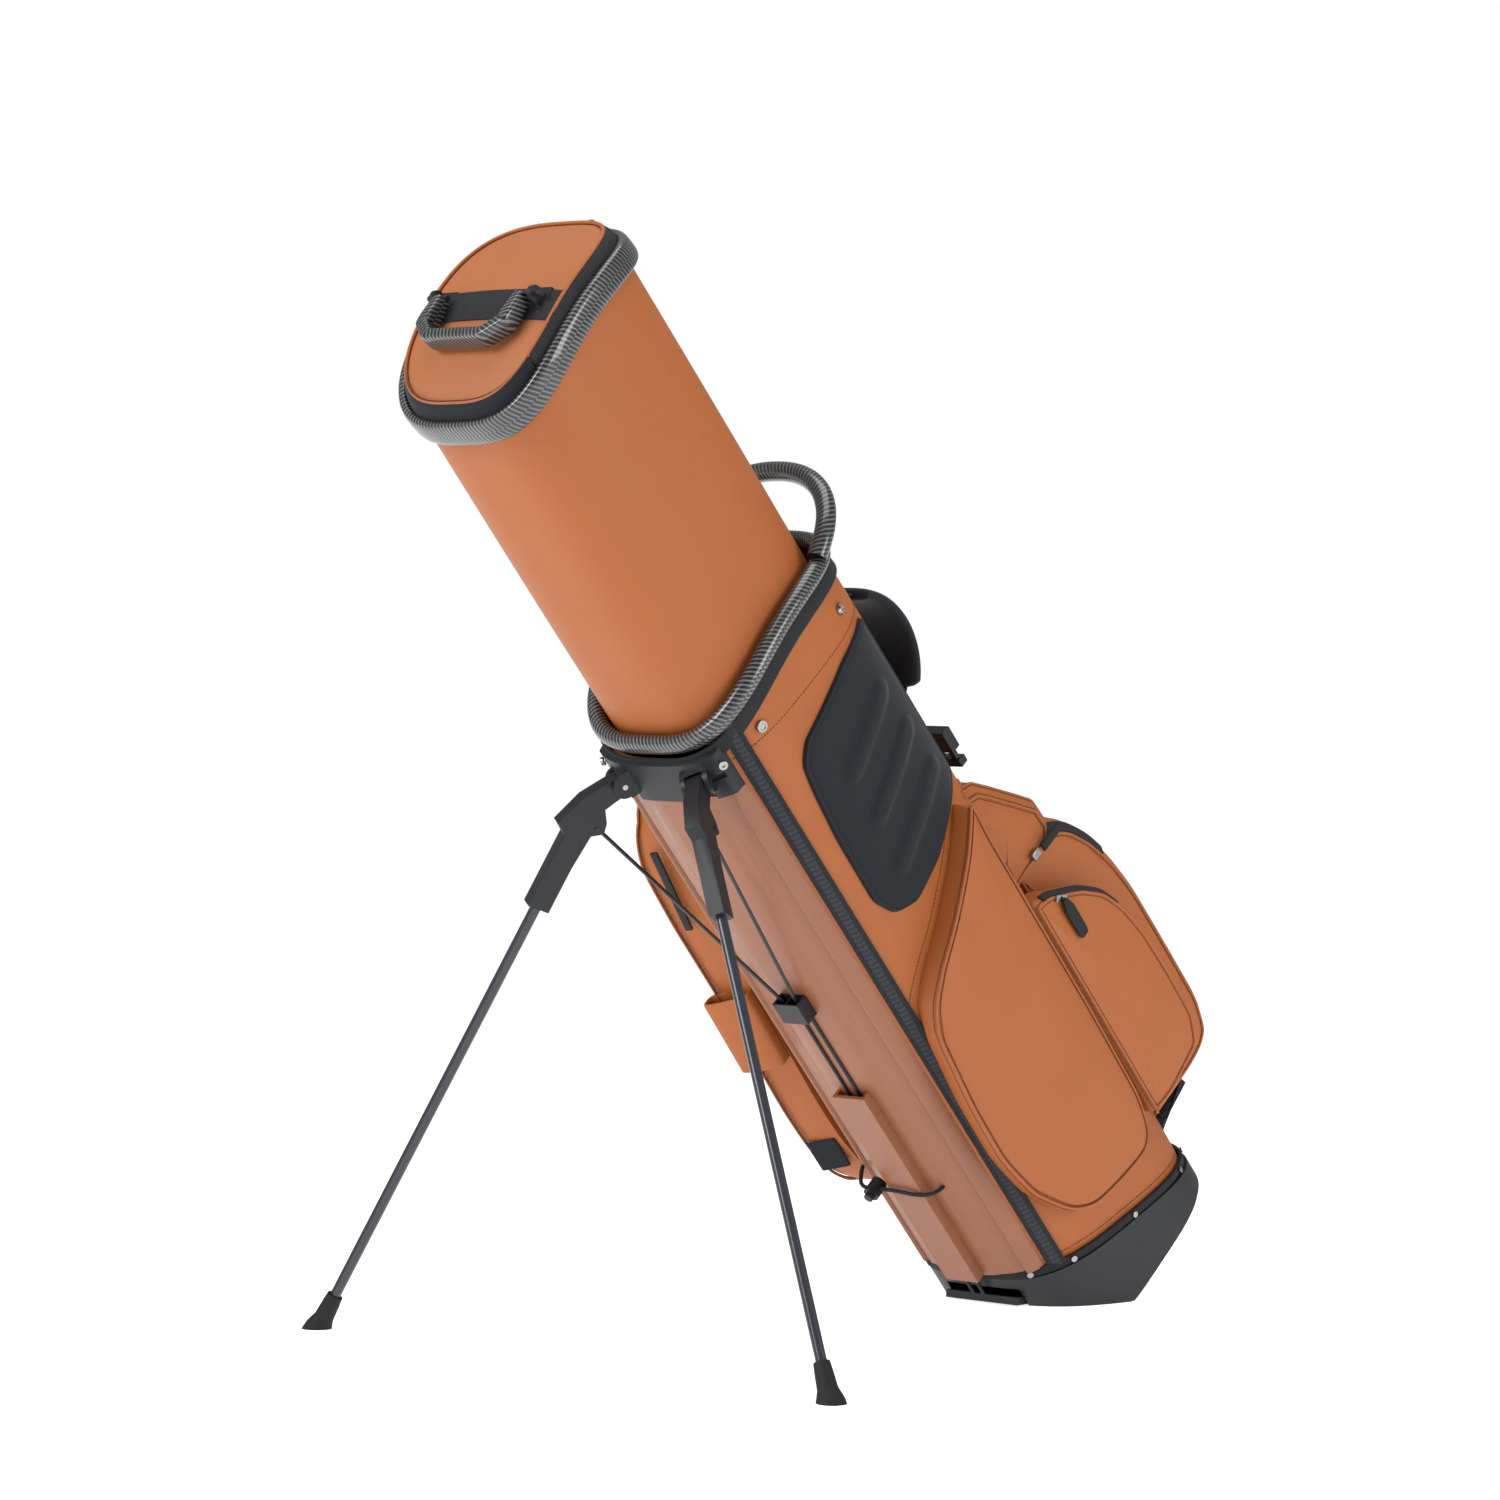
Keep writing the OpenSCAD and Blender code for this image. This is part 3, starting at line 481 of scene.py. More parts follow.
def webbing(name, pale, deep, rib=0.0016):
    """Ribs are a wave of v; a chevron of u over v gives the ribbons their twill."""
    paint = Paint(name, Sheen_Weight=0.06, Sheen_Roughness=0.4, Specular_IOR_Level=0.25)
    u, v, _ = paint.split(paint.where("UV"))
    chevron = ((v + (u * 400).wave() * 0.0009) * (2 * math.pi / (rib * 2))).wave() * 0.5 + 0.5
    ribs = (v * (2 * math.pi / rib)).wave() * 0.5 + 0.5
    height = ribs * 0.5 + chevron * 0.5
    return paint.feed(Base_Color=paint.blend(height, deep, pale),
                      Roughness=0.62 + 0.2 * ribs,
                      Normal=paint.bump(height, 0.0003, 0.6))


def zip_tape(name):
    """Coil teeth across the middle of the tape, and plain weave on both sides of it."""
    paint = Paint(name, Specular_IOR_Level=0.25)
    u, v, _ = paint.split(paint.where("UV"))
    teeth = (v * (2 * math.pi / 0.0026)).wave() * 0.5 + 0.5
    weave = (v * 6000).wave() * (u * 6000).wave() * 0.5 + 0.5
    height = teeth * 0.7 + weave * 0.3
    return paint.feed(Base_Color=paint.blend(height, (0.006, 0.006, 0.007), (0.030, 0.030, 0.034)),
                      Roughness=0.55 + 0.2 * weave,
                      Normal=paint.bump(height, 0.0006, 0.8))


FABRIC = plain_weave("black_fabric", (0.013, 0.015, 0.020), (0.008, 0.010, 0.014))
LINING = plain_weave("lining", (0.040, 0.042, 0.050), (0.020, 0.021, 0.026), 900)
MESH = plain_weave("black_mesh", (0.020, 0.022, 0.028), (0.002, 0.002, 0.003), 700)
STRIP = webbing("strip_webbing", (0.040, 0.044, 0.054), (0.008, 0.009, 0.012), 0.0030)
BLACK_WEB = webbing("black_webbing", (0.016, 0.017, 0.020), (0.006, 0.007, 0.009))
WHITE_WEB = webbing("white_webbing", (0.80, 0.80, 0.79), (0.52, 0.52, 0.52))
ZIP = zip_tape("zip_black")
# the dark brown thread finish also colours the painted shadow lines beside every piping
THREAD_AND_PAINTED_SHADOW = plain_weave("brown_thread_and_painted_shadow", (0.085, 0.028, 0.012), (0.045, 0.014, 0.006), 4000)
print("cloth", FABRIC.name, STRIP.name, ZIP.name)


# %% [markdown]
# Sliders, snaps and rivets are nickel. When it is ready, every CAD node gets the finish of its slot.

# %% Nickel
def nickel(name):
    """Polished metal; long thin noise is the polishing, a broad one the fingerprints."""
    paint = Paint(name, Metallic=1.0)
    brushed = paint.noise(1400, 2)
    smear = paint.noise(60, 4)
    return paint.feed(Base_Color=paint.blend(smear, (0.26, 0.26, 0.255), (0.44, 0.44, 0.435)),
                      Roughness=0.16 + 0.16 * smear + 0.06 * brushed,
                      Normal=paint.bump(brushed, 0.00003, 0.3))


NICKEL = nickel("nickel")
FINISH = {"tan_leather": TAN, "tan_shell": SHELL, "carbon_trim": CARBON, "black_plastic": PLASTIC,
          "black_fabric": FABRIC, "black_webbing": BLACK_WEB, "zip_black": ZIP, "nickel": NICKEL,
          "leg_carbon": LEG, "black_rubber": RUBBER, "steel_black": STEEL, "white_webbing": WHITE_WEB,
          "divider_fabric": LINING, "black_mesh": MESH}
for node, part in frame["nodes"].items():
    part.data.materials.clear()
    part.data.materials.append(FINISH[SLOT_OF[node]])
print("finishes given to", len(frame["nodes"]), "nodes")


# %% [markdown]
# The body and the hood are leather tubes with a folded top edge. Going up the outside, over the
# edge and down the inside makes one closed wall, with no open rim to see through.

# %% Tubes of leather
def wall(shape, thick, low, high, swell=0.0, rows=40):
    """Outside rows rise from plane low to plane high; inside rows come back down."""
    w = np.r_[np.linspace(0, 1, rows), np.linspace(1, 0, rows)]
    grow = np.r_[swell * np.sin(np.pi * w[:rows]), np.full(rows, -thick)]
    rounds = np.array([-1.2, -0.4, 0.0])
    grow[rows - 3:rows] += rounds[::-1]
    grow[:3] += rounds
    sheets = []
    for share, out in zip(w, grow):
        ring = oval(shape, out)
        bottom = low[0] + low[1] * ring[:, 0]
        top = high[0] + high[1] * ring[:, 0] + arched(ring[:, 0], shape)
        sheets.append(np.column_stack([ring, bottom + share * (top - bottom)]))
    return np.array(sheets)


body = wall(BODY, thick=5, low=(BAND_Z, BAND_SLOPE), high=(COLLAR_Z - 18, COLLAR_SLOPE))
skin("body_leather", body, "body_shell", TAN, along=True)
hood = wall(HOOD, thick=3, low=(832, 0), high=(1274, RIM_SLOPE), swell=0.6)
skin("hood_leather", hood, "hood_tube", TAN, along=True)


# %% [markdown]
# Stitches are tiny spindles laid end to end with gaps. They repeat hundreds of times, so each has
# only twelve points, and all of them are worked out in one array.

# %% Stitching
def stitches(name, path, normals, node, pitch=4.2, long=1.45, wide=0.32):
    """Spindle points (along, out, across) are placed at each step of the path."""
    p = np.asarray(path, float)
    total = np.linalg.norm(np.diff(p, axis=0), axis=1).sum()
    count = max(int(total / pitch), 2)
    spots = even(p, count, closed=False)
    outs = unit(even(normals, count, closed=False))
    tangent = unit(np.gradient(spots, axis=0))
    across = np.cross(tangent, outs)
    along = np.repeat([-long, 0, long], 4)
    girth = np.repeat([0.55, 1.0, 0.55], 4)
    turn = np.tile([0, np.pi / 2, np.pi, 3 * np.pi / 2], 3)
    shape = (spots[:, None] + along[None, :, None] * tangent[:, None]
             + (wide * girth * np.cos(turn) + 0.15)[None, :, None] * outs[:, None]
             + (1.7 * wide * girth * np.sin(turn))[None, :, None] * across[:, None])
    ring = np.array([[k, (k + 1) % 4, (k + 1) % 4 + 4, k + 4] for k in range(4)])
    one = np.vstack([ring, ring + 4, [[3, 2, 1, 0]], [[8, 9, 10, 11]]])
    faces = (one[None] + 12 * np.arange(count)[:, None, None]).reshape(-1, 4)
    mesh = bpy.data.meshes.new(name)
    mesh.from_pydata(place(shape.reshape(-1, 3)).tolist(), [], faces.tolist())
    mesh.uv_layers.new(name="UVMap")
    return finish_mesh(name, mesh, node, THREAD_AND_PAINTED_SHADOW, 60, hide=False)


def ring_line(shape, grow, z, slope, arch):
    """A tilted oval line with the outward direction at each point."""
    flat = oval(shape, grow)
    path = on_plane(flat, z, slope, shape if arch else None)
    return path, np.column_stack([oval(shape, grow + 1) - flat, np.zeros(len(flat))])


for name, shape, grow, z, slope, node, arch in (
        ("hood_stitches", HOOD, 0.6, 1246, RIM_SLOPE, "hood_tube", True),
        ("collar_stitches", BODY, 0.1, 816, 0.0, "body_shell", False),
        ("base_stitches", BODY, 0.1, BAND_Z + 16, BAND_SLOPE, "body_shell", False)):
    path, out = ring_line(shape, grow, z, slope, arch)
    stitches(name, path, out, node)


# %% [markdown]
# The collar ring, the loop handle and the rim of the hood are round tubes in striped carbon. A
# dark band of webbing lies under the ring and another above the base.

# %% Rings and bands
def tilted_ring(shape, grow, z, slope, section, count=360, arch=True):
    """A section swept round the oval on a tilted plane; up is the plane's own normal."""
    path = on_plane(oval(shape, grow, count), z, slope, shape if arch else None)
    return sweep(path, section, unit(np.array([-slope, 0, 1.0])), closed=True)


skin("collar_ring_tube", tilted_ring(RING, 0, COLLAR_Z, COLLAR_SLOPE, round_section(9, 10, 24)),
     "collar_ring", CARBON, along=True)
rim_section = round_section(5.4, 14.0, 24, 3.0)
skin("hood_rim_tube", tilted_ring(HOOD, 5.4, RIM_Z, RIM_SLOPE, rim_section),
     "hood_rim", FINE_CARBON, along=True)
band = round_section(2.0, 8.6, 16, 5)
skin("collar_webbing", tilted_ring(BODY, 1.6, COLLAR_Z - 18.5, COLLAR_SLOPE, band),
     "collar_band", BLACK_WEB, along=True)
base_band = round_section(2.0, 4.6, 16, 5)
skin("base_webbing", tilted_ring(BODY, 1.8, BAND_Z + 4, BAND_SLOPE, base_band, arch=False),
     "base_band", BLACK_WEB, along=True)
for side, tag in ((-1, "near"), (1, "far")):
    z = np.linspace(100, 866, 160)
    x = np.full(160, -88.0)
    path = np.stack([x, side * (flank(x) + 1.6), z], 1)
    out = np.array([-0.62, side * 0.78, 0])
    skin("strip_" + tag, sweep(path, round_section(9.5, 1.7, 20, 5), out), "spine_strips", BLACK_WEB)
    path = path + out * 1.3
    skin("strip_weave_" + tag, sweep(path, round_section(4.6, 1.0, 20, 5), out), "spine_strips", STRIP)


# %% [markdown]
# A thick loop handle of the same carbon rises from the ring towards the rear.

# %% Loop handle at the collar
def loop_handle():
    """Half a squared ellipse in plan that rises to the rear, ends let into the ring."""
    t = np.radians(np.linspace(-90, 90, 121))
    reach = 90 * np.abs(np.cos(t)) ** 0.8
    y = 98 * np.sign(t) * np.abs(np.sin(t)) ** 0.9
    path = np.stack([105 + reach, y, 898 + 0.4 * reach], 1)
    path = even(soften(path, 12, closed=False), 140, closed=False)
    return sweep(path, round_section(10, 10, 24), up=(-0.37, 0, 0.93))


skin("loop_handle", loop_handle(), "collar_handle", CARBON)


# %% [markdown]
# The lid is a stiff leather panel, crowned in the middle, with a piped edge. A black zip runs round
# it above the carbon rim, and a strap handle of carbon stands on two brackets.

# %% Lid
def lid_panel():
    """Rings shrink from the edge to the centre; the crown is a paraboloid over the lid's plane."""
    share = np.r_[0.04, 0.3, 0.6, 0.9, 1.0, 1.0, 0.997, 0.985, 0.96, np.linspace(0.92, 0.04, 22)]
    drop = np.r_[-16, -16, -16, -16, -15, -3.5, -1.4, -0.3, 0, np.zeros(22)]
    crown = np.r_[np.zeros(8), LID_CROWN * (1 - share[8:] ** 2)]
    edge = oval(HOOD, -5.4)
    centre = np.array([HOOD["centre"], 0.0])
    sheets = []
    for s, d, c in zip(share, drop, crown):
        flat = centre + s * (edge - centre)
        lift = arched(flat[:, 0], HOOD)
        sheets.append(np.column_stack([flat, LID_Z - 3.5 + LID_SLOPE * flat[:, 0] + lift + d + c]))
    return np.array(sheets)


skin("lid_leather", lid_panel(), "lid_panel", LID_TAN)
piping = tilted_ring(HOOD, -4.6, LID_Z - 2.6, LID_SLOPE, round_section(1.9, 1.9, 12))
skin("lid_piping", piping, "lid_panel", PIPING, along=True)

BAND = ((2.4, -9.5), (2.0, -5), (1.0, -1), (0.6, 1.5), (-0.6, 4), (-3.4, 8.6), (-5.4, 8.6),
        (-4, 0), (-1, -9.5))
HINGE_X = -58


def lid_band(front):
    """A closed section of growth and height, carried along the front or the rest of the oval."""
    middle = oval(HOOD, 0, 360)
    part = (middle[:, 0] < HINGE_X) == front
    first = int(np.argmax(~part))
    columns = []
    for grow, height in BAND:
        ring = on_plane(oval(HOOD, grow, 360), ZIP_Z + height, ZIP_SLOPE, HOOD)
        columns.append(np.roll(ring, -first, 0)[np.roll(part, -first)])
    return np.stack(columns, 1)


skin("lid_zip_tape", lid_band(False), "lid_zip", ZIP)
skin("lid_hinge_tape", lid_band(True), "lid_hinge", FABRIC)


def band_sliders():
    """Two small rounded blocks on the band at the rear, each with a thin tab lying beside it."""
    grids = []
    x = HOOD["centre"] + HOOD["a"] + 4.5
    z = ZIP_Z + ZIP_SLOPE * x + arched(x, HOOD)
    for y in (-26.0, 26.0):
        block = np.linspace([x, y, z - 6], [x - 1, y, z + 6], 12)
        tab = np.linspace([x + 2.6, y + 3, z], [x + 2.2, y + 24, z + 1], 20)
        ends = np.sin(np.linspace(0.5, np.pi - 0.5, 12)) ** 0.4
        grids.append(sweep(block, round_section(4.6, 2.2, 20, 4), (1, 0, 0), scale=ends))
        grids.append(sweep(tab, round_section(3.2, 0.9, 20, 4), (1, 0, 0)))
    return grids


skin("lid_slider_blocks", band_sliders(), "lid_sliders", NICKEL)


# %% [markdown]
# Pockets are puffed panels. A pocket on the side follows the oval of the body: going in from its
# outline the leather rises in a quarter round, then swells to a crown in the middle. A pocket at
# the rear is a soft block whose two sides are rounded the same way.

# %% Panels on the sides
PANEL_GAP = 0.4


def inward(path):
    """Unit normals of a closed flat path, pointing to its inside."""
    tangent = unit(np.roll(path, -1, 0) - np.roll(path, 1, 0))
    normal = np.stack([-tangent[:, 1], tangent[:, 0]], 1)
    area = np.sum(path[:, 0] * np.roll(path[:, 1], -1) - path[:, 1] * np.roll(path[:, 0], -1))
    return normal * np.sign(area)


def outline_of(corners, softness=26, count=320):
    """Corners joined by straight lines, evened and softened into a rounded panel."""
    return even(soften(even(corners, count), softness), count)


def panel_levels(outline, edge, thick, crown, rounds=10, rings=26):
    """(flat points, height) for each ring from the outline inwards."""
    normal = inward(outline)
    levels = []
    for k in range(rounds + 1):
        t = k / rounds * np.pi / 2
        levels.append((outline + normal * edge * (1 - np.cos(t)), thick * np.sin(t)))
    inner = outline + normal * edge
    centre = inner.mean(0)
    for s in np.linspace(1, 0.03, rings)[1:]:
        levels.append((centre + s * (inner - centre), thick + crown * (1 - s ** 2)))
    return levels


def side_base(x, floor):
    """Half width that a side panel is laid on: the body's flank, but never less than the floor."""
    return np.maximum(flank(x), floor)


def side_panel(outline, side, edge, thick, crown, relief=None, floor=0.0, tuck=0.0):
    """Levels laid on the flank, closed underneath; the leg side is tucked in towards the body."""
    levels = panel_levels(outline, edge, thick, crown)
    centre = outline.mean(0)
    under = [(centre + s * (outline - centre), 0.0) for s in (0.03, 0.4, 0.8)]
    sheets = []
    for flat, height in under + levels:
        rise = height if relief is None or height == 0 else height + relief(flat)
        share = max(0.0, 1 - height / thick) * np.clip((-70 - flat[:, 0]) / 40, 0, 1)
        flat = flat + np.column_stack([tuck * share, 0 * share])
        sheets.append(upright(flat, side * (side_base(flat[:, 0], floor) + PANEL_GAP + rise)))
    return np.array(sheets)


def side_line(outline, side, inset, height, floor=0.0):
    """A closed line on a side panel, inset from its outline and standing proud of the body."""
    flat = outline + inward(outline) * inset
    return upright(flat, side * (side_base(flat[:, 0], floor) + height))


# %% [markdown]
# A rear block has the same rounded edge as a panel on both of its sides, so piping and zips can be
# laid on it by an angle. Where a block meets the body it stops just inside the leather.

# %% Blocks at the rear
def block_edge(outline, edge, y_face, side, turn):
    """Line on the rounded edge of a rear block, turn degrees from the rim to the face, and normals."""
    t = math.radians(turn)
    inner = inward(outline)
    flat = outline + inner * edge * (1 - math.cos(t))
    line = upright(flat, side * (y_face - edge * (1 - math.sin(t))))
    return line, upright(-inner * math.cos(t), side * math.sin(t))


def stretch(path, extra, keep):
    """The run of a closed line where keep is true, in order, with the matching extra rows."""
    first = int(np.argmax(~keep))
    turned_keep = np.roll(keep, -first)
    return np.roll(path, -first, 0)[turned_keep], np.roll(extra, -first, 0)[turned_keep]


def rear_block(outline, y0, y1, edge, crown, swell=0.0):
    """Near cap, rounded edge, run across the bag, far cap; nothing goes inside the body's wall."""
    near = panel_levels(outline, edge, edge, crown)
    sheets = []
    for flat, height in near[::-1]:
        sheets.append(upright(flat, y0 + edge - height))
    for t in np.linspace(0, 1, 18)[1:-1]:
        wide = outline - inward(outline) * swell * np.sin(np.pi * t)
        sheets.append(upright(wide, y0 + edge + t * (y1 - y0 - 2 * edge)))
    for flat, height in near:
        sheets.append(upright(flat, y1 - edge + height))
    block = np.array(sheets)
    block[..., 0] = np.maximum(block[..., 0], body_rear(block[..., 1]) - 2.5)
    return block


# %% [markdown]
# Every pocket's edge is piped: a leather cord, and beside it two hair-thin dark cords that are painted
# shade, the shadow lines of the creases beside the cord. A row of stitches follows the top of the side
# pocket.

# %% Pockets on the two sides
CORD_SIDES, SHADOW_LINE_SIDES = 12, 6
# painted shade: a hair-thin section for the dark cords that stand for the shadow beside each piping
PAINTED_SHADOW_LINE = round_section(0.36, 0.36, SHADOW_LINE_SIDES)


def piped(name, cords, node, count):
    """One piece of cords in threes: a piping, then two cords of painted shade that get the dark
    thread's finish.
    """
    piece = skin(name, cords, node, PIPING, along=True)
    # the thin cords after each piping get the dark thread finish: painted shadow lines, not real parts
    piece.data.materials.append(THREAD_AND_PAINTED_SHADOW)
    index = np.arange(len(piece.data.polygons)) % ((CORD_SIDES + 2 * SHADOW_LINE_SIDES) * count)
    dark = (index >= CORD_SIDES * count).astype(np.int32)
    piece.data.polygons.foreach_set("material_index", dark)


def side_piping(name, outline, side, inset, height, floor, node):
    """A cord round a side panel's edge with a thin dark cord of painted shade on both sides of it."""
    cords = []
    cord = round_section(1.7, 1.7, CORD_SIDES)
    # the two thin cords beside the piping are painted shadow lines
    for gap, lift, section in ((0, 0, cord), (3.0, 1.3, PAINTED_SHADOW_LINE), (-1.9, -2.6, PAINTED_SHADOW_LINE)):
        line = side_line(outline, side, inset + gap, height + lift, floor)
        cords.append(sweep(line, section, (0, side, 0), closed=True))
    piped(name, cords, node, len(outline))


SIDE = outline_of([(98, 588), (50, 550), (0, 518), (-47, 492), (-74, 466), (-88, 430), (-98, 340),
                   (-100, 270), (-88, 210), (-64, 162), (-38, 143), (10, 134), (60, 128), (78, 140),
                   (90, 180), (94, 300), (94, 420), (94, 540)], 26, 400)
skin("side_pocket_leather", side_panel(SIDE, -1, 6, 25, 4, floor=90, tuck=10), "side_pocket", TAN)
side_piping("side_pocket_piping", SIDE, -1, 2.2, 24.4, 90, "side_pocket")
FAR = outline_of([(72, 724), (-66, 723), (-94, 703), (-110, 671), (-115, 594), (-116, 500),
                  (-120, 400), (-123, 340), (-122, 288), (-115, 240), (-101, 213), (-76, 192),
                  (60, 192), (84, 230), (88, 500)], 24, 400)
skin("far_pocket_leather", side_panel(FAR, 1, 10, 44, 4, floor=92, tuck=16), "far_pocket", TAN)
side_piping("far_pocket_piping", FAR, 1, 4.4, 41.4, 92, "far_pocket")
seam = side_line(SIDE, -1, -9, 0.5)
on_top = (seam[:, 0] < 70) & (seam[:, 0] > -84) & (seam[:, 2] > 380)
seam, seam_out = stretch(seam, np.tile([0.0, -1, 0.0], (len(seam), 1)), on_top)
stitches("side_seam", seam, seam_out, "side_pocket")


# %% [markdown]
# The ball, valuables and cooler pockets are blocks. Each has a rounded edge and a face to the side.

# %% Pockets at the rear
SHADOW_LINE_TURN = 51.3  # degrees of a round edge for each mm of gap and mm of radius


def edge_piping(name, outline, edge, y_face, sides, node, turn):
    """A cord and two dark cords of painted shade beside it on the rounded edge of a block, kept
    outside the body's leather.
    """
    cords = []
    cord = round_section(1.6, 1.6, CORD_SIDES)
    for side in sides:
        # the two thin cords beside the piping are painted shadow lines
        for gap, lift, section in ((0, 0.5, cord), (-3.2, 0.05, PAINTED_SHADOW_LINE), (3.2, 0.05, PAINTED_SHADOW_LINE)):
            line, normal = block_edge(outline, edge, y_face, side, turn + SHADOW_LINE_TURN * gap / edge)
            line[:, 0] = np.maximum(line[:, 0], body_rear(line[:, 1]))
            cords.append(sweep(line + normal * lift, section, normal, closed=True))
    piped(name, cords, node, len(outline))


BALL_EDGE, BALL_HALF = 26, 84
VALUABLES_EDGE, VALUABLES_HALF = 18, 86
COOLER_EDGE, COOLER_FACE = 9, 124
BALL = outline_of([(118, 462), (180, 464), (206, 458), (230, 438), (250, 402), (263, 360), (270, 310),
                   (271, 240), (271, 150), (258, 108), (236, 95), (205, 91), (118, 92)], 30, 400)
skin("ball_pocket_leather", rear_block(BALL, -BALL_HALF, BALL_HALF, BALL_EDGE, 2, 4),
     "ball_pocket", TAN)
edge_piping("ball_pocket_piping", BALL, BALL_EDGE, BALL_HALF, (-1, 1), "ball_pocket", 66)
VALUABLES = outline_of([(100, 580), (146, 564), (162, 544), (186, 512), (205, 486), (207, 454),
                        (190, 436), (100, 428)], 12)
valuables = rear_block(VALUABLES, -VALUABLES_HALF, VALUABLES_HALF, VALUABLES_EDGE, 3, 1.5)
skin("valuables_pocket_leather", valuables, "valuables_pocket", TAN)
for name, turn in (("valuables_piping", 74), ("valuables_piping_outer", 22)):
    edge_piping(name, VALUABLES, VALUABLES_EDGE, VALUABLES_HALF, (-1, 1), "valuables_pocket", turn)
COOLER = outline_of([(96, 440), (122, 434), (164, 404), (188, 377), (202, 342), (209, 300), (211, 240),
                     (210, 182), (194, 150), (134, 140), (96, 142)], 24, 400)
skin("cooler_pocket_leather", rear_block(COOLER, -COOLER_FACE, -84.8, COOLER_EDGE, 4),
     "cooler_pocket", TAN)
edge_piping("cooler_pocket_piping", COOLER, COOLER_EDGE, COOLER_FACE, (-1,), "cooler_pocket", 62)


# %% [markdown]
# Padding: the hip pad is foam under tight cloth, pressed into three soft ribs. The shoulder strap
# is a thick curved pad between two ends of webbing.

# %% Hip pad and strap
HIP = outline_of([(122, 810), (62, 803), (16, 790), (-29, 779), (-46, 762), (-51, 732), (-56, 674),
                  (-57, 590), (-44, 562), (-14, 551), (36, 562), (100, 592), (124, 606)], 9)
RIBS = (((82, 745), (0, 715)), ((88, 692), (-3, 657)), ((92, 637), (-8, 599)))


def hip_ribs(flat):
    """Each rib is a soft ridge round a line segment: height falls with the distance from it."""
    total = np.zeros(len(flat))
    for start, stop in RIBS:
        a, b = np.array(start, float), np.array(stop, float)
        t = np.clip((flat - a) @ (b - a) / ((b - a) @ (b - a)), 0, 1)
        away = np.linalg.norm(flat - a - t[:, None] * (b - a), axis=1)
        total += 3.6 * np.exp(-(away / 11) ** 4)
    return total


hip = skin("hip_pad_fabric", side_panel(HIP, -1, 9, 5.0, 1.6, hip_ribs), "hip_pad", FABRIC)
hip_edge = sweep(side_line(HIP, -1, 2.5, 3.2), round_section(1.8, 1.8, 12), (0, -1, 0), closed=True)
skin("hip_pad_edge", hip_edge, "hip_pad", BLACK_WEB, along=True)


def strap_arc(start, stop, count):
    """Part of a circle beside the bag's middle plane, by angle in degrees."""
    t = np.radians(np.linspace(start, stop, count))
    return np.stack([118 + 78 * np.cos(t), np.full(count, -23.0), 736 + 78 * np.sin(t)], 1)


ends = np.clip(np.sin(np.linspace(0, np.pi, 90)) * 7, 0, 1) ** 0.5
pad_grid = sweep(strap_arc(52, -52, 90), round_section(6.8, 34.5, 40, 3.2), (0, 1, 0),
                 scale=0.55 + 0.45 * ends)
strap = skin("strap_pad_fabric", pad_grid, "strap_pad", FABRIC)
for tag, start, stop in (("top", 62, 50), ("low", -50, -62)):
    web = sweep(strap_arc(start, stop, 30), round_section(1.5, 19, 20, 6), (0, 1, 0))
    skin("strap_web_" + tag, web, "strap_webbing", BLACK_WEB)


# %% [markdown]
# Small trims: zips on the pockets, the towel loop, a plain label, the sleeve for tees, the net
# under the ball pocket, and the elastic cord across the leg side.

# %% Trims
def edge_zip(outline, edge, y_face, side, turn, wide, keep_low, keep_x):
    """A flat zip bent along the rounded edge of a block, where z and x are over two limits."""
    line, normal = block_edge(outline, edge, y_face, side, turn)
    line, normal = stretch(line, normal, (line[:, 2] > keep_low) & (line[:, 0] > keep_x))
    return sweep(line + normal * 0.6, round_section(wide, 1.4, 20, 5), normal)


zips = [edge_zip(BALL, BALL_EDGE, BALL_HALF, side, 48, 6.5, 372, 196) for side in (-1, 1)]
skin("ball_zip_tape", zips, "ball_zip", ZIP)
skin("cooler_zip_tape", edge_zip(COOLER, COOLER_EDGE, COOLER_FACE, -1, 30, 4.5, 352, 112),
     "cooler_zip", ZIP)
side_run = np.linspace([91, -106, 538], [91, -106, 358], 60)
skin("side_zip_tape", sweep(side_run, round_section(5, 1.8, 16, 5), (1, 0, 0)), "side_zip", ZIP)
far_run = np.linspace([-112, 112, 592], [-104, 105, 690], 50)
skin("far_zip_tape", sweep(far_run, round_section(4.2, 1.8, 16, 5), (-1, -0.3, 0)), "far_zip", ZIP)
loop_turn = np.radians(np.linspace(0, 360, 60, endpoint=False))
loop_ring = np.stack([-55 + 9 * np.cos(loop_turn), np.full(60, 119.5),
                      722 + 7.5 * np.sin(loop_turn)], 1)
skin("towel_loop_web", sweep(loop_ring, round_section(1.2, 1.5, 12), (0, 1, 0), closed=True),
     "towel_loop", WHITE_WEB, along=True)


def label():
    """A flat patch on the far pocket's leaning front wall: y to the side, z up, x on the wall."""
    flat = outline_of([(98, 252), (130, 252), (130, 292), (98, 292)], 4, 120)
    sheets = []
    for points, height in [(flat, -0.6)] + panel_levels(flat, 0.6, 0.8, 0.1, 5, 6):
        wall_x = np.interp(points[:, 0], [92, 136], [-105.5, -121.5])
        sheets.append(np.column_stack([wall_x - 0.9 - height, points[:, 0], points[:, 1]]))
    return np.array(sheets)


skin("label_plain", label(), "label_patch", FABRIC)
CORD = np.array([(-121.4, -38, 250), (-127, -37.6, 250.3), (-134, -33, 251), (-139.5, -24, 252.6),
                 (-141.5, -10, 255), (-141.5, 4, 257), (-141.5, 16, 258), (-141.5, 50, 258),
                 (-140.2, 56, 258), (-136, 62, 258), (-128, 68, 257.4), (-116, 75, 257),
                 (-104, 78.4, 256.8)], float)
skin("loop_cord_elastic", sweep(open_line(CORD, 4, 90), round_section(2.2, 2.2, 12), (0, 0, 1)),
     "loop_cord", BLACK_WEB)


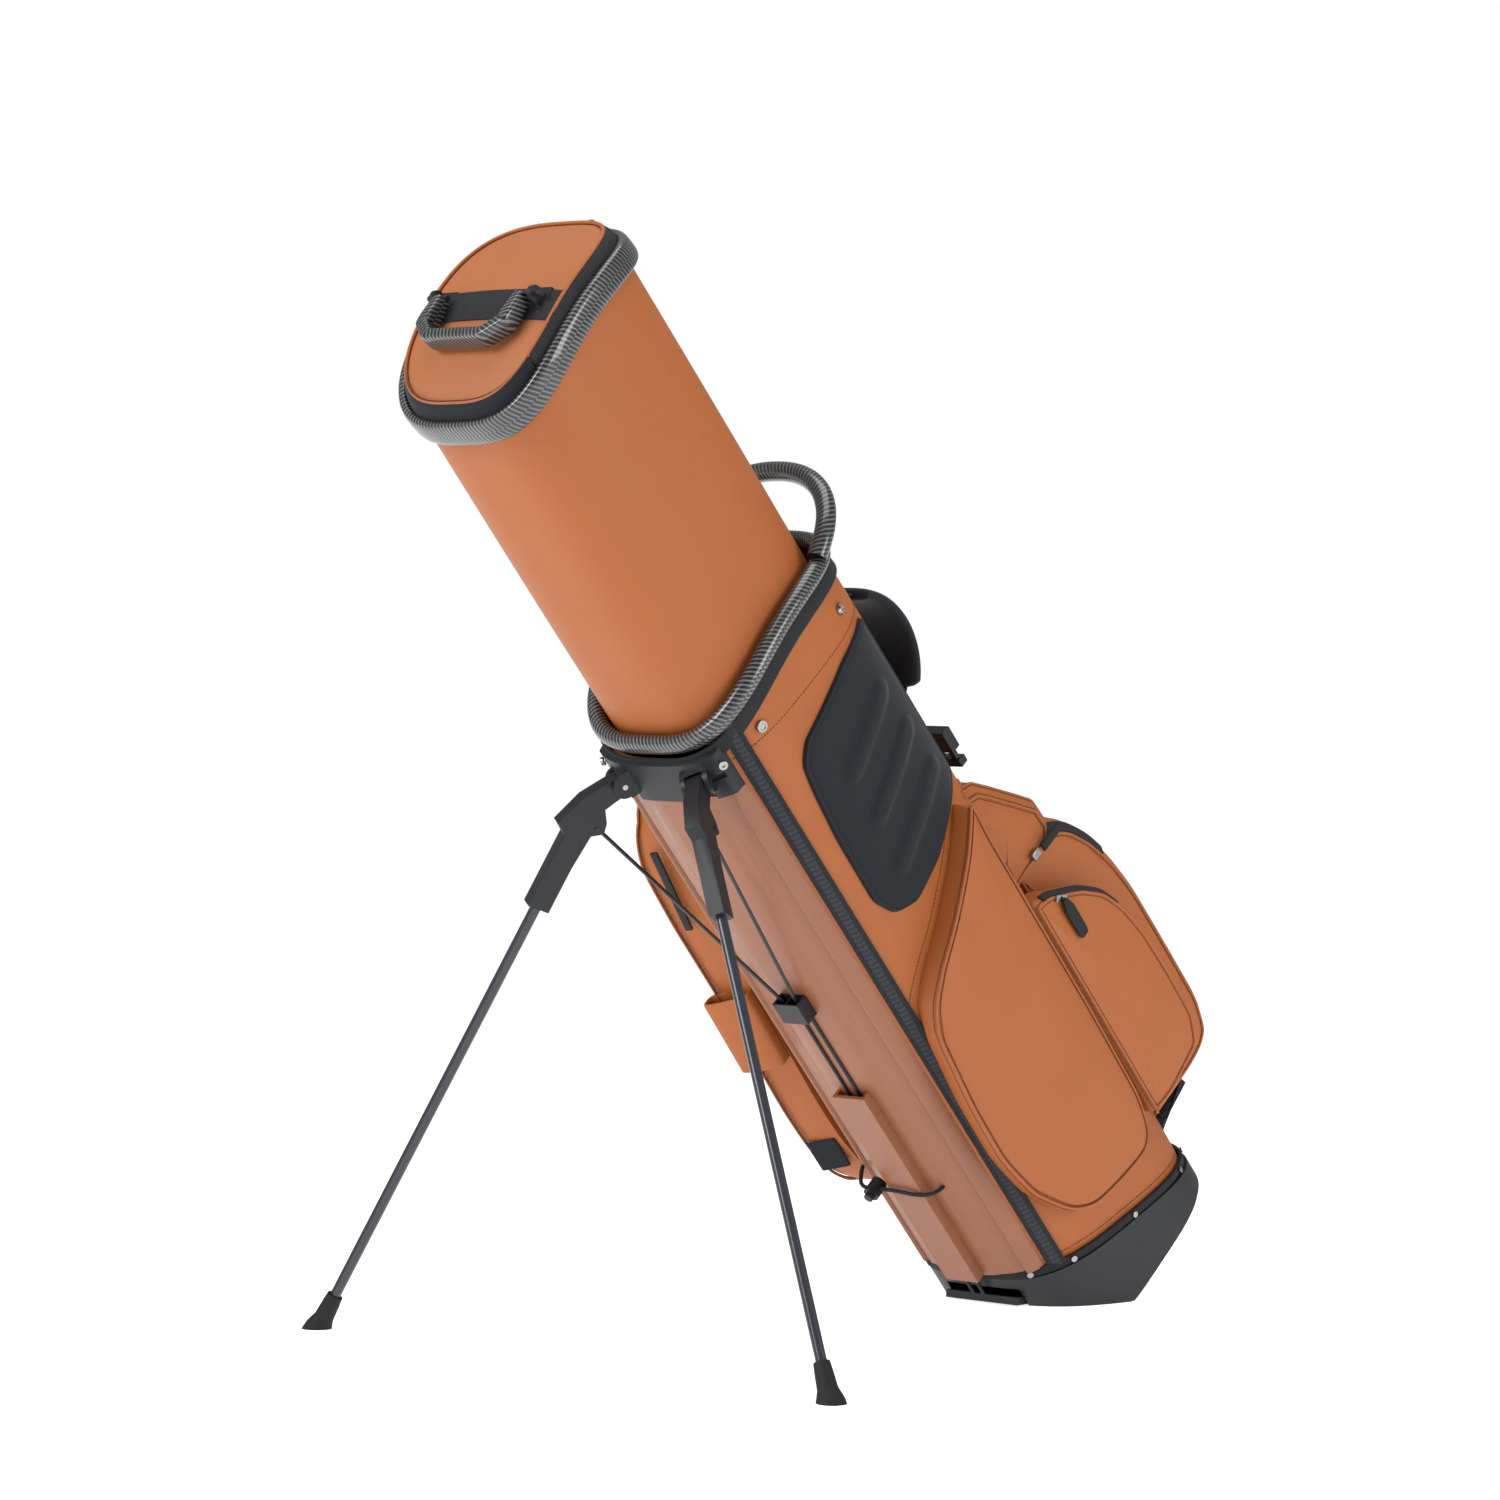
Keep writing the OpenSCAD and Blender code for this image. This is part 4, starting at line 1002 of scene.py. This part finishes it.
def open_sleeve():
    """Squared oval tube with a folded lip: outside up, inside down, floor closed."""
    shape = dict(centre=0, a=9.5, b=24)
    rows = [(-3, 421), (0, 424), (0.2, 460), (0.4, 500), (0.6, 513), (0, 515.6), (-1.4, 516),
            (-2.6, 514), (-2.8, 480), (-2.8, 440), (-3.2, 427)]
    sheets = []
    for grow, z in rows:
        ring = oval(shape, grow, 160, 4)
        lean_out = -118.5 - 0.36 * ring[:, 1] + 0.05 * (z - 420)
        sheets.append(np.column_stack([ring[:, 0] + lean_out, ring[:, 1] + 116,
                                       np.full(160, z - 16.0)]))
    return np.array(sheets)


skin("tee_sleeve_leather", open_sleeve(), "tee_sleeve", TAN)
GORE = outline_of([(112, 91), (150, 91), (194, 97), (190, 92), (150, 80), (112, 70)], 2, 160)
skin("gore_net", rear_block(GORE, -76, 76, 6, 1), "mesh_gore", MESH)


# %% [markdown]
# The carbon handle on the lid is a bent bar of soft square section. Its path goes up one side,
# across the front and back down the other, as a strap handle does.

# %% Lid handle
HANDLE_RISE, HANDLE_Z = math.radians(13), 1299.0


def lid_frame(p):
    """Points of the handle's own tilted plane, carried into the bag's axes."""
    x = p[:, 0] * math.cos(HANDLE_RISE) - p[:, 2] * math.sin(HANDLE_RISE)
    z = p[:, 0] * math.sin(HANDLE_RISE) + p[:, 2] * math.cos(HANDLE_RISE)
    return np.column_stack([x, p[:, 1], z + HANDLE_Z])


corners = np.array([(-1, -55, 14), (-34, -55, 15), (-50, -37, 16), (-50, 37, 16), (-34, 55, 15),
                    (-1, 55, 14)], float)
bar = open_line(corners, 5, 240)
taper = 0.8 + 0.2 * np.clip(np.minimum(np.arange(240), np.arange(240)[::-1]) / 30, 0, 1)
bar_grid = sweep(lid_frame(bar), round_section(6.4, 10.5, 28, 5), (-0.225, 0, 0.974), scale=taper)
skin("lid_handle_bar", bar_grid, "lid_handle", CARBON, sharp=60)


def lid_webbing():
    """A flat band across the crowned lid: y from edge to edge, x 34 mm wide, just over the leather."""
    rows = []
    for y in np.linspace(-91, 91, 60):
        w = np.linspace(-19, 15, 12)
        share = np.hypot((w - HOOD["centre"]) / HOOD["a"], y / HOOD["b"])
        crown = LID_CROWN * (1 - np.clip(share, 0, 1) ** 2)
        height = LID_Z - 3.0 + LID_SLOPE * w + arched(w, HOOD) + crown
        top = np.column_stack([w, np.full(12, y), height + 1.0])
        low = np.column_stack([w, np.full(12, y), height - 0.6])[::-1]
        rows.append(np.vstack([top, low]))
    return np.array(rows)


skin("lid_webbing_band", lid_webbing(), "lid_mounts", BLACK_WEB, hide=False)

# %% [markdown]
# The moulded shell on the leg side has a ridge near each edge, a groove, and a soft crown between.

# %% Spine face
SPINE_TOP = 785.0
SPINE = np.array([(-97, 80), (-103, 78.5), (-110, 76), (-114.5, 73), (-114, 69.5), (-109, 66),
                  (-109, 62), (-115, 57), (-118.5, 50), (-120, 44), (-124.5, 34), (-126.5, 22),
                  (-127, 0)])


def spine_face():
    """Cross-section of ridge, groove and soft crown, mirrored, then carried up the bag."""
    half = open_line(SPINE, 2, 60)
    front = np.vstack([half * [1, -1], half[::-1][1:]])
    back = front[::-1] * [0, 1] + np.column_stack([-np.full(len(front), 98.0), np.zeros(len(front))])
    depth = np.abs(back[:, 1])
    back[:, 0] = np.interp(depth, [0, 40, 60, 80], [-121.5, -115, -108, -94])
    loop = np.vstack([front, back])
    rows = []
    for share in np.linspace(0, 1, 60):
        low = BAND_Z + 8 + BAND_SLOPE * loop[:, 0]
        z = low + share * (SPINE_TOP - low)
        fade = np.clip((SPINE_TOP - z) / 60, 0, 1) ** 0.5
        pulled = loop[:, 0] * fade + (1 - fade) * (loop[:, 0] + 3)
        x = np.where(np.arange(len(loop)) < len(front), pulled, loop[:, 0])
        rows.append(np.column_stack([x, loop[:, 1], z]))
    return np.array(rows)


skin("spine_face", spine_face(), "spine_shell", SHELL)

# %% [markdown]
# The legs are plain tubes, so they are swept again with a UV map that carries the weave. Every
# other hard part keeps the shape it has, with its edges eased so that they catch the light.

# %% Legs and eased hard parts
PIVOT = np.array([-128.0, 53.0, 810.0])
SPLAY, DROOP = math.radians(32.9), math.radians(32.8)


def leg_line(side):
    """Straight line of a leg: from inside its socket, out and down at the droop angle."""
    out = np.array([-math.cos(SPLAY), side * math.sin(SPLAY), 0.0])
    down = np.array([0, 0, 1.0])
    mouth = PIVOT * [1, side, 1] + 136 * out - 64 * down
    ahead = math.cos(DROOP) * out - math.sin(DROOP) * down
    height = place(mouth)[2] * 1000
    fall = height - place(mouth + ahead)[2] * 1000
    reach = height / fall
    return mouth - 61 * ahead, mouth + (reach - 14) * ahead


for side, tag in ((-1, "near"), (1, "far")):
    top, bottom = leg_line(side)
    tube = sweep(np.linspace(top, bottom, 80), round_section(5.5, 5.5, 24), (0, 0, 1))
    skin("leg_tube_" + tag, tube, "leg_" + tag, LEG)
EASED_MM = ((1.2, "base_shell spine_shell stand_bracket knuckle_near knuckle_far"),
            (0.8, "foot_near foot_far"), (0, "rod_near rod_far"), (0.8, "rod_carriage"),
            (1.0, "base_flap"), (0.8, "cord_lock"), (0.6, "lock_button"),
            (1.0, "buckle_socket buckle_tongue"), (0.6, "lid_mounts"),
            (0.8, "side_slider ball_slider cooler_slider"),
            (0.9, "side_pull ball_pull cooler_pull"), (0.4, "strap_tab snap_buttons"),
            (0.3, "base_rivets bracket_screws leg_pins"), (0.6, "divider_grid"))
for edge, nodes in EASED_MM:
    for node in nodes.split():
        eased_copy(node, FINISH[SLOT_OF[node]], edge / 1000)
print("hard parts eased:", ", ".join(nodes for _, nodes in EASED_MM))

# %% [markdown]
# A long lens from a little above the floor, soft light from big panels, and a plain pale floor
# that also glows white: painted light that brightens the bag from below.

# %% Camera, light and floor
def turned(turn, pitch):
    """Right, up and back axes of a camera that looks along a compass turn and a small dip."""
    right = np.array([math.cos(turn), math.sin(turn), 0])
    back = np.array([math.sin(turn) * math.cos(pitch), -math.cos(turn) * math.cos(pitch),
                     math.sin(pitch)])
    return right, np.cross(back, right), back


def set_camera(spot, turn, pitch, lens_mm):
    """A camera at the spot with its axes as the columns of its matrix."""
    lens = bpy.data.cameras.new("camera")
    lens.lens = lens_mm
    lens.sensor_width = 36
    lens.clip_end = 100
    matrix = np.eye(4)
    matrix[:3, :3] = np.stack(turned(turn, pitch), 1)
    matrix[:3, 3] = spot
    camera = put("camera", lens)
    camera.matrix_world = mathutils.Matrix(matrix)
    bpy.context.scene.camera = camera


def soft_panel(name, spot, target, size, power):
    """A square area light at the spot, turned to the target."""
    light = bpy.data.lights.new(name, "AREA")
    light.shape = "SQUARE"
    light.size = size
    light.energy = power
    lamp = put(name, light)
    lamp.location = spot
    ray = mathutils.Vector(target) - mathutils.Vector(spot)
    lamp.rotation_euler = ray.to_track_quat("-Z", "Y").to_euler()


set_camera(spot=(-4.2329, -3.637, 0.7427), turn=math.radians(-46.07), pitch=math.radians(1.76),
           lens_mm=127.45)
middle = (-0.3, 0.0, 0.5)
soft_panel("light_left", (-3.4, 0.9, 2.3), middle, 1.6, 85)
soft_panel("light_over", (-0.5, -0.2, 3.4), middle, 2.2, 50)
soft_panel("light_right", (0.4, -3.6, 1.5), middle, 1.6, 60)


def white_room():
    """Soft grey light from all sides; behind the bag the camera sees plain white."""
    world = bpy.data.worlds.new("studio")
    world.use_nodes = True
    tree = world.node_tree
    soft = tree.nodes["Background"]
    soft.inputs[0].default_value = (1, 1, 1, 1)
    soft.inputs[1].default_value = 0.34
    white = tree.nodes.new("ShaderNodeBackground")
    white.inputs[0].default_value = (1, 1, 1, 1)
    white.inputs[1].default_value = 1.0
    path = tree.nodes.new("ShaderNodeLightPath")
    mix = tree.nodes.new("ShaderNodeMixShader")
    tree.links.new(path.outputs["Is Camera Ray"], mix.inputs[0])
    tree.links.new(soft.outputs[0], mix.inputs[1])
    tree.links.new(white.outputs[0], mix.inputs[2])
    tree.links.new(mix.outputs[0], tree.nodes["World Output"].inputs["Surface"])
    bpy.context.scene.world = world
    bpy.context.scene.view_settings.view_transform = "Standard"


def glowing_pale_floor():
    """A large flat sheet at height zero, almost white and matt, that glows white: painted light from
    below that also lightens the shadows.
    """
    # painted light: the white emission makes the floor glow, lighting the bag from below and
    # lightening its shadows
    paint = Paint("glowing_pale_floor", Roughness=0.9, Specular_IOR_Level=0.0, Emission_Strength=0.75)
    paint.shader.inputs["Emission Color"].default_value = (1, 1, 1, 1)
    tone = paint.noise(2, 2)
    finish = paint.feed(Base_Color=paint.blend(tone, (0.86, 0.86, 0.86), (0.90, 0.90, 0.90)))
    mesh = bpy.data.meshes.new("floor")
    mesh.from_pydata([(-30, -30, 0), (30, -30, 0), (30, 30, 0), (-30, 30, 0)], [], [(0, 1, 2, 3)])
    mesh.materials.append(finish)
    floor = put("floor", mesh)


white_room()
glowing_pale_floor()
print("camera, three lights, a white room and a floor")
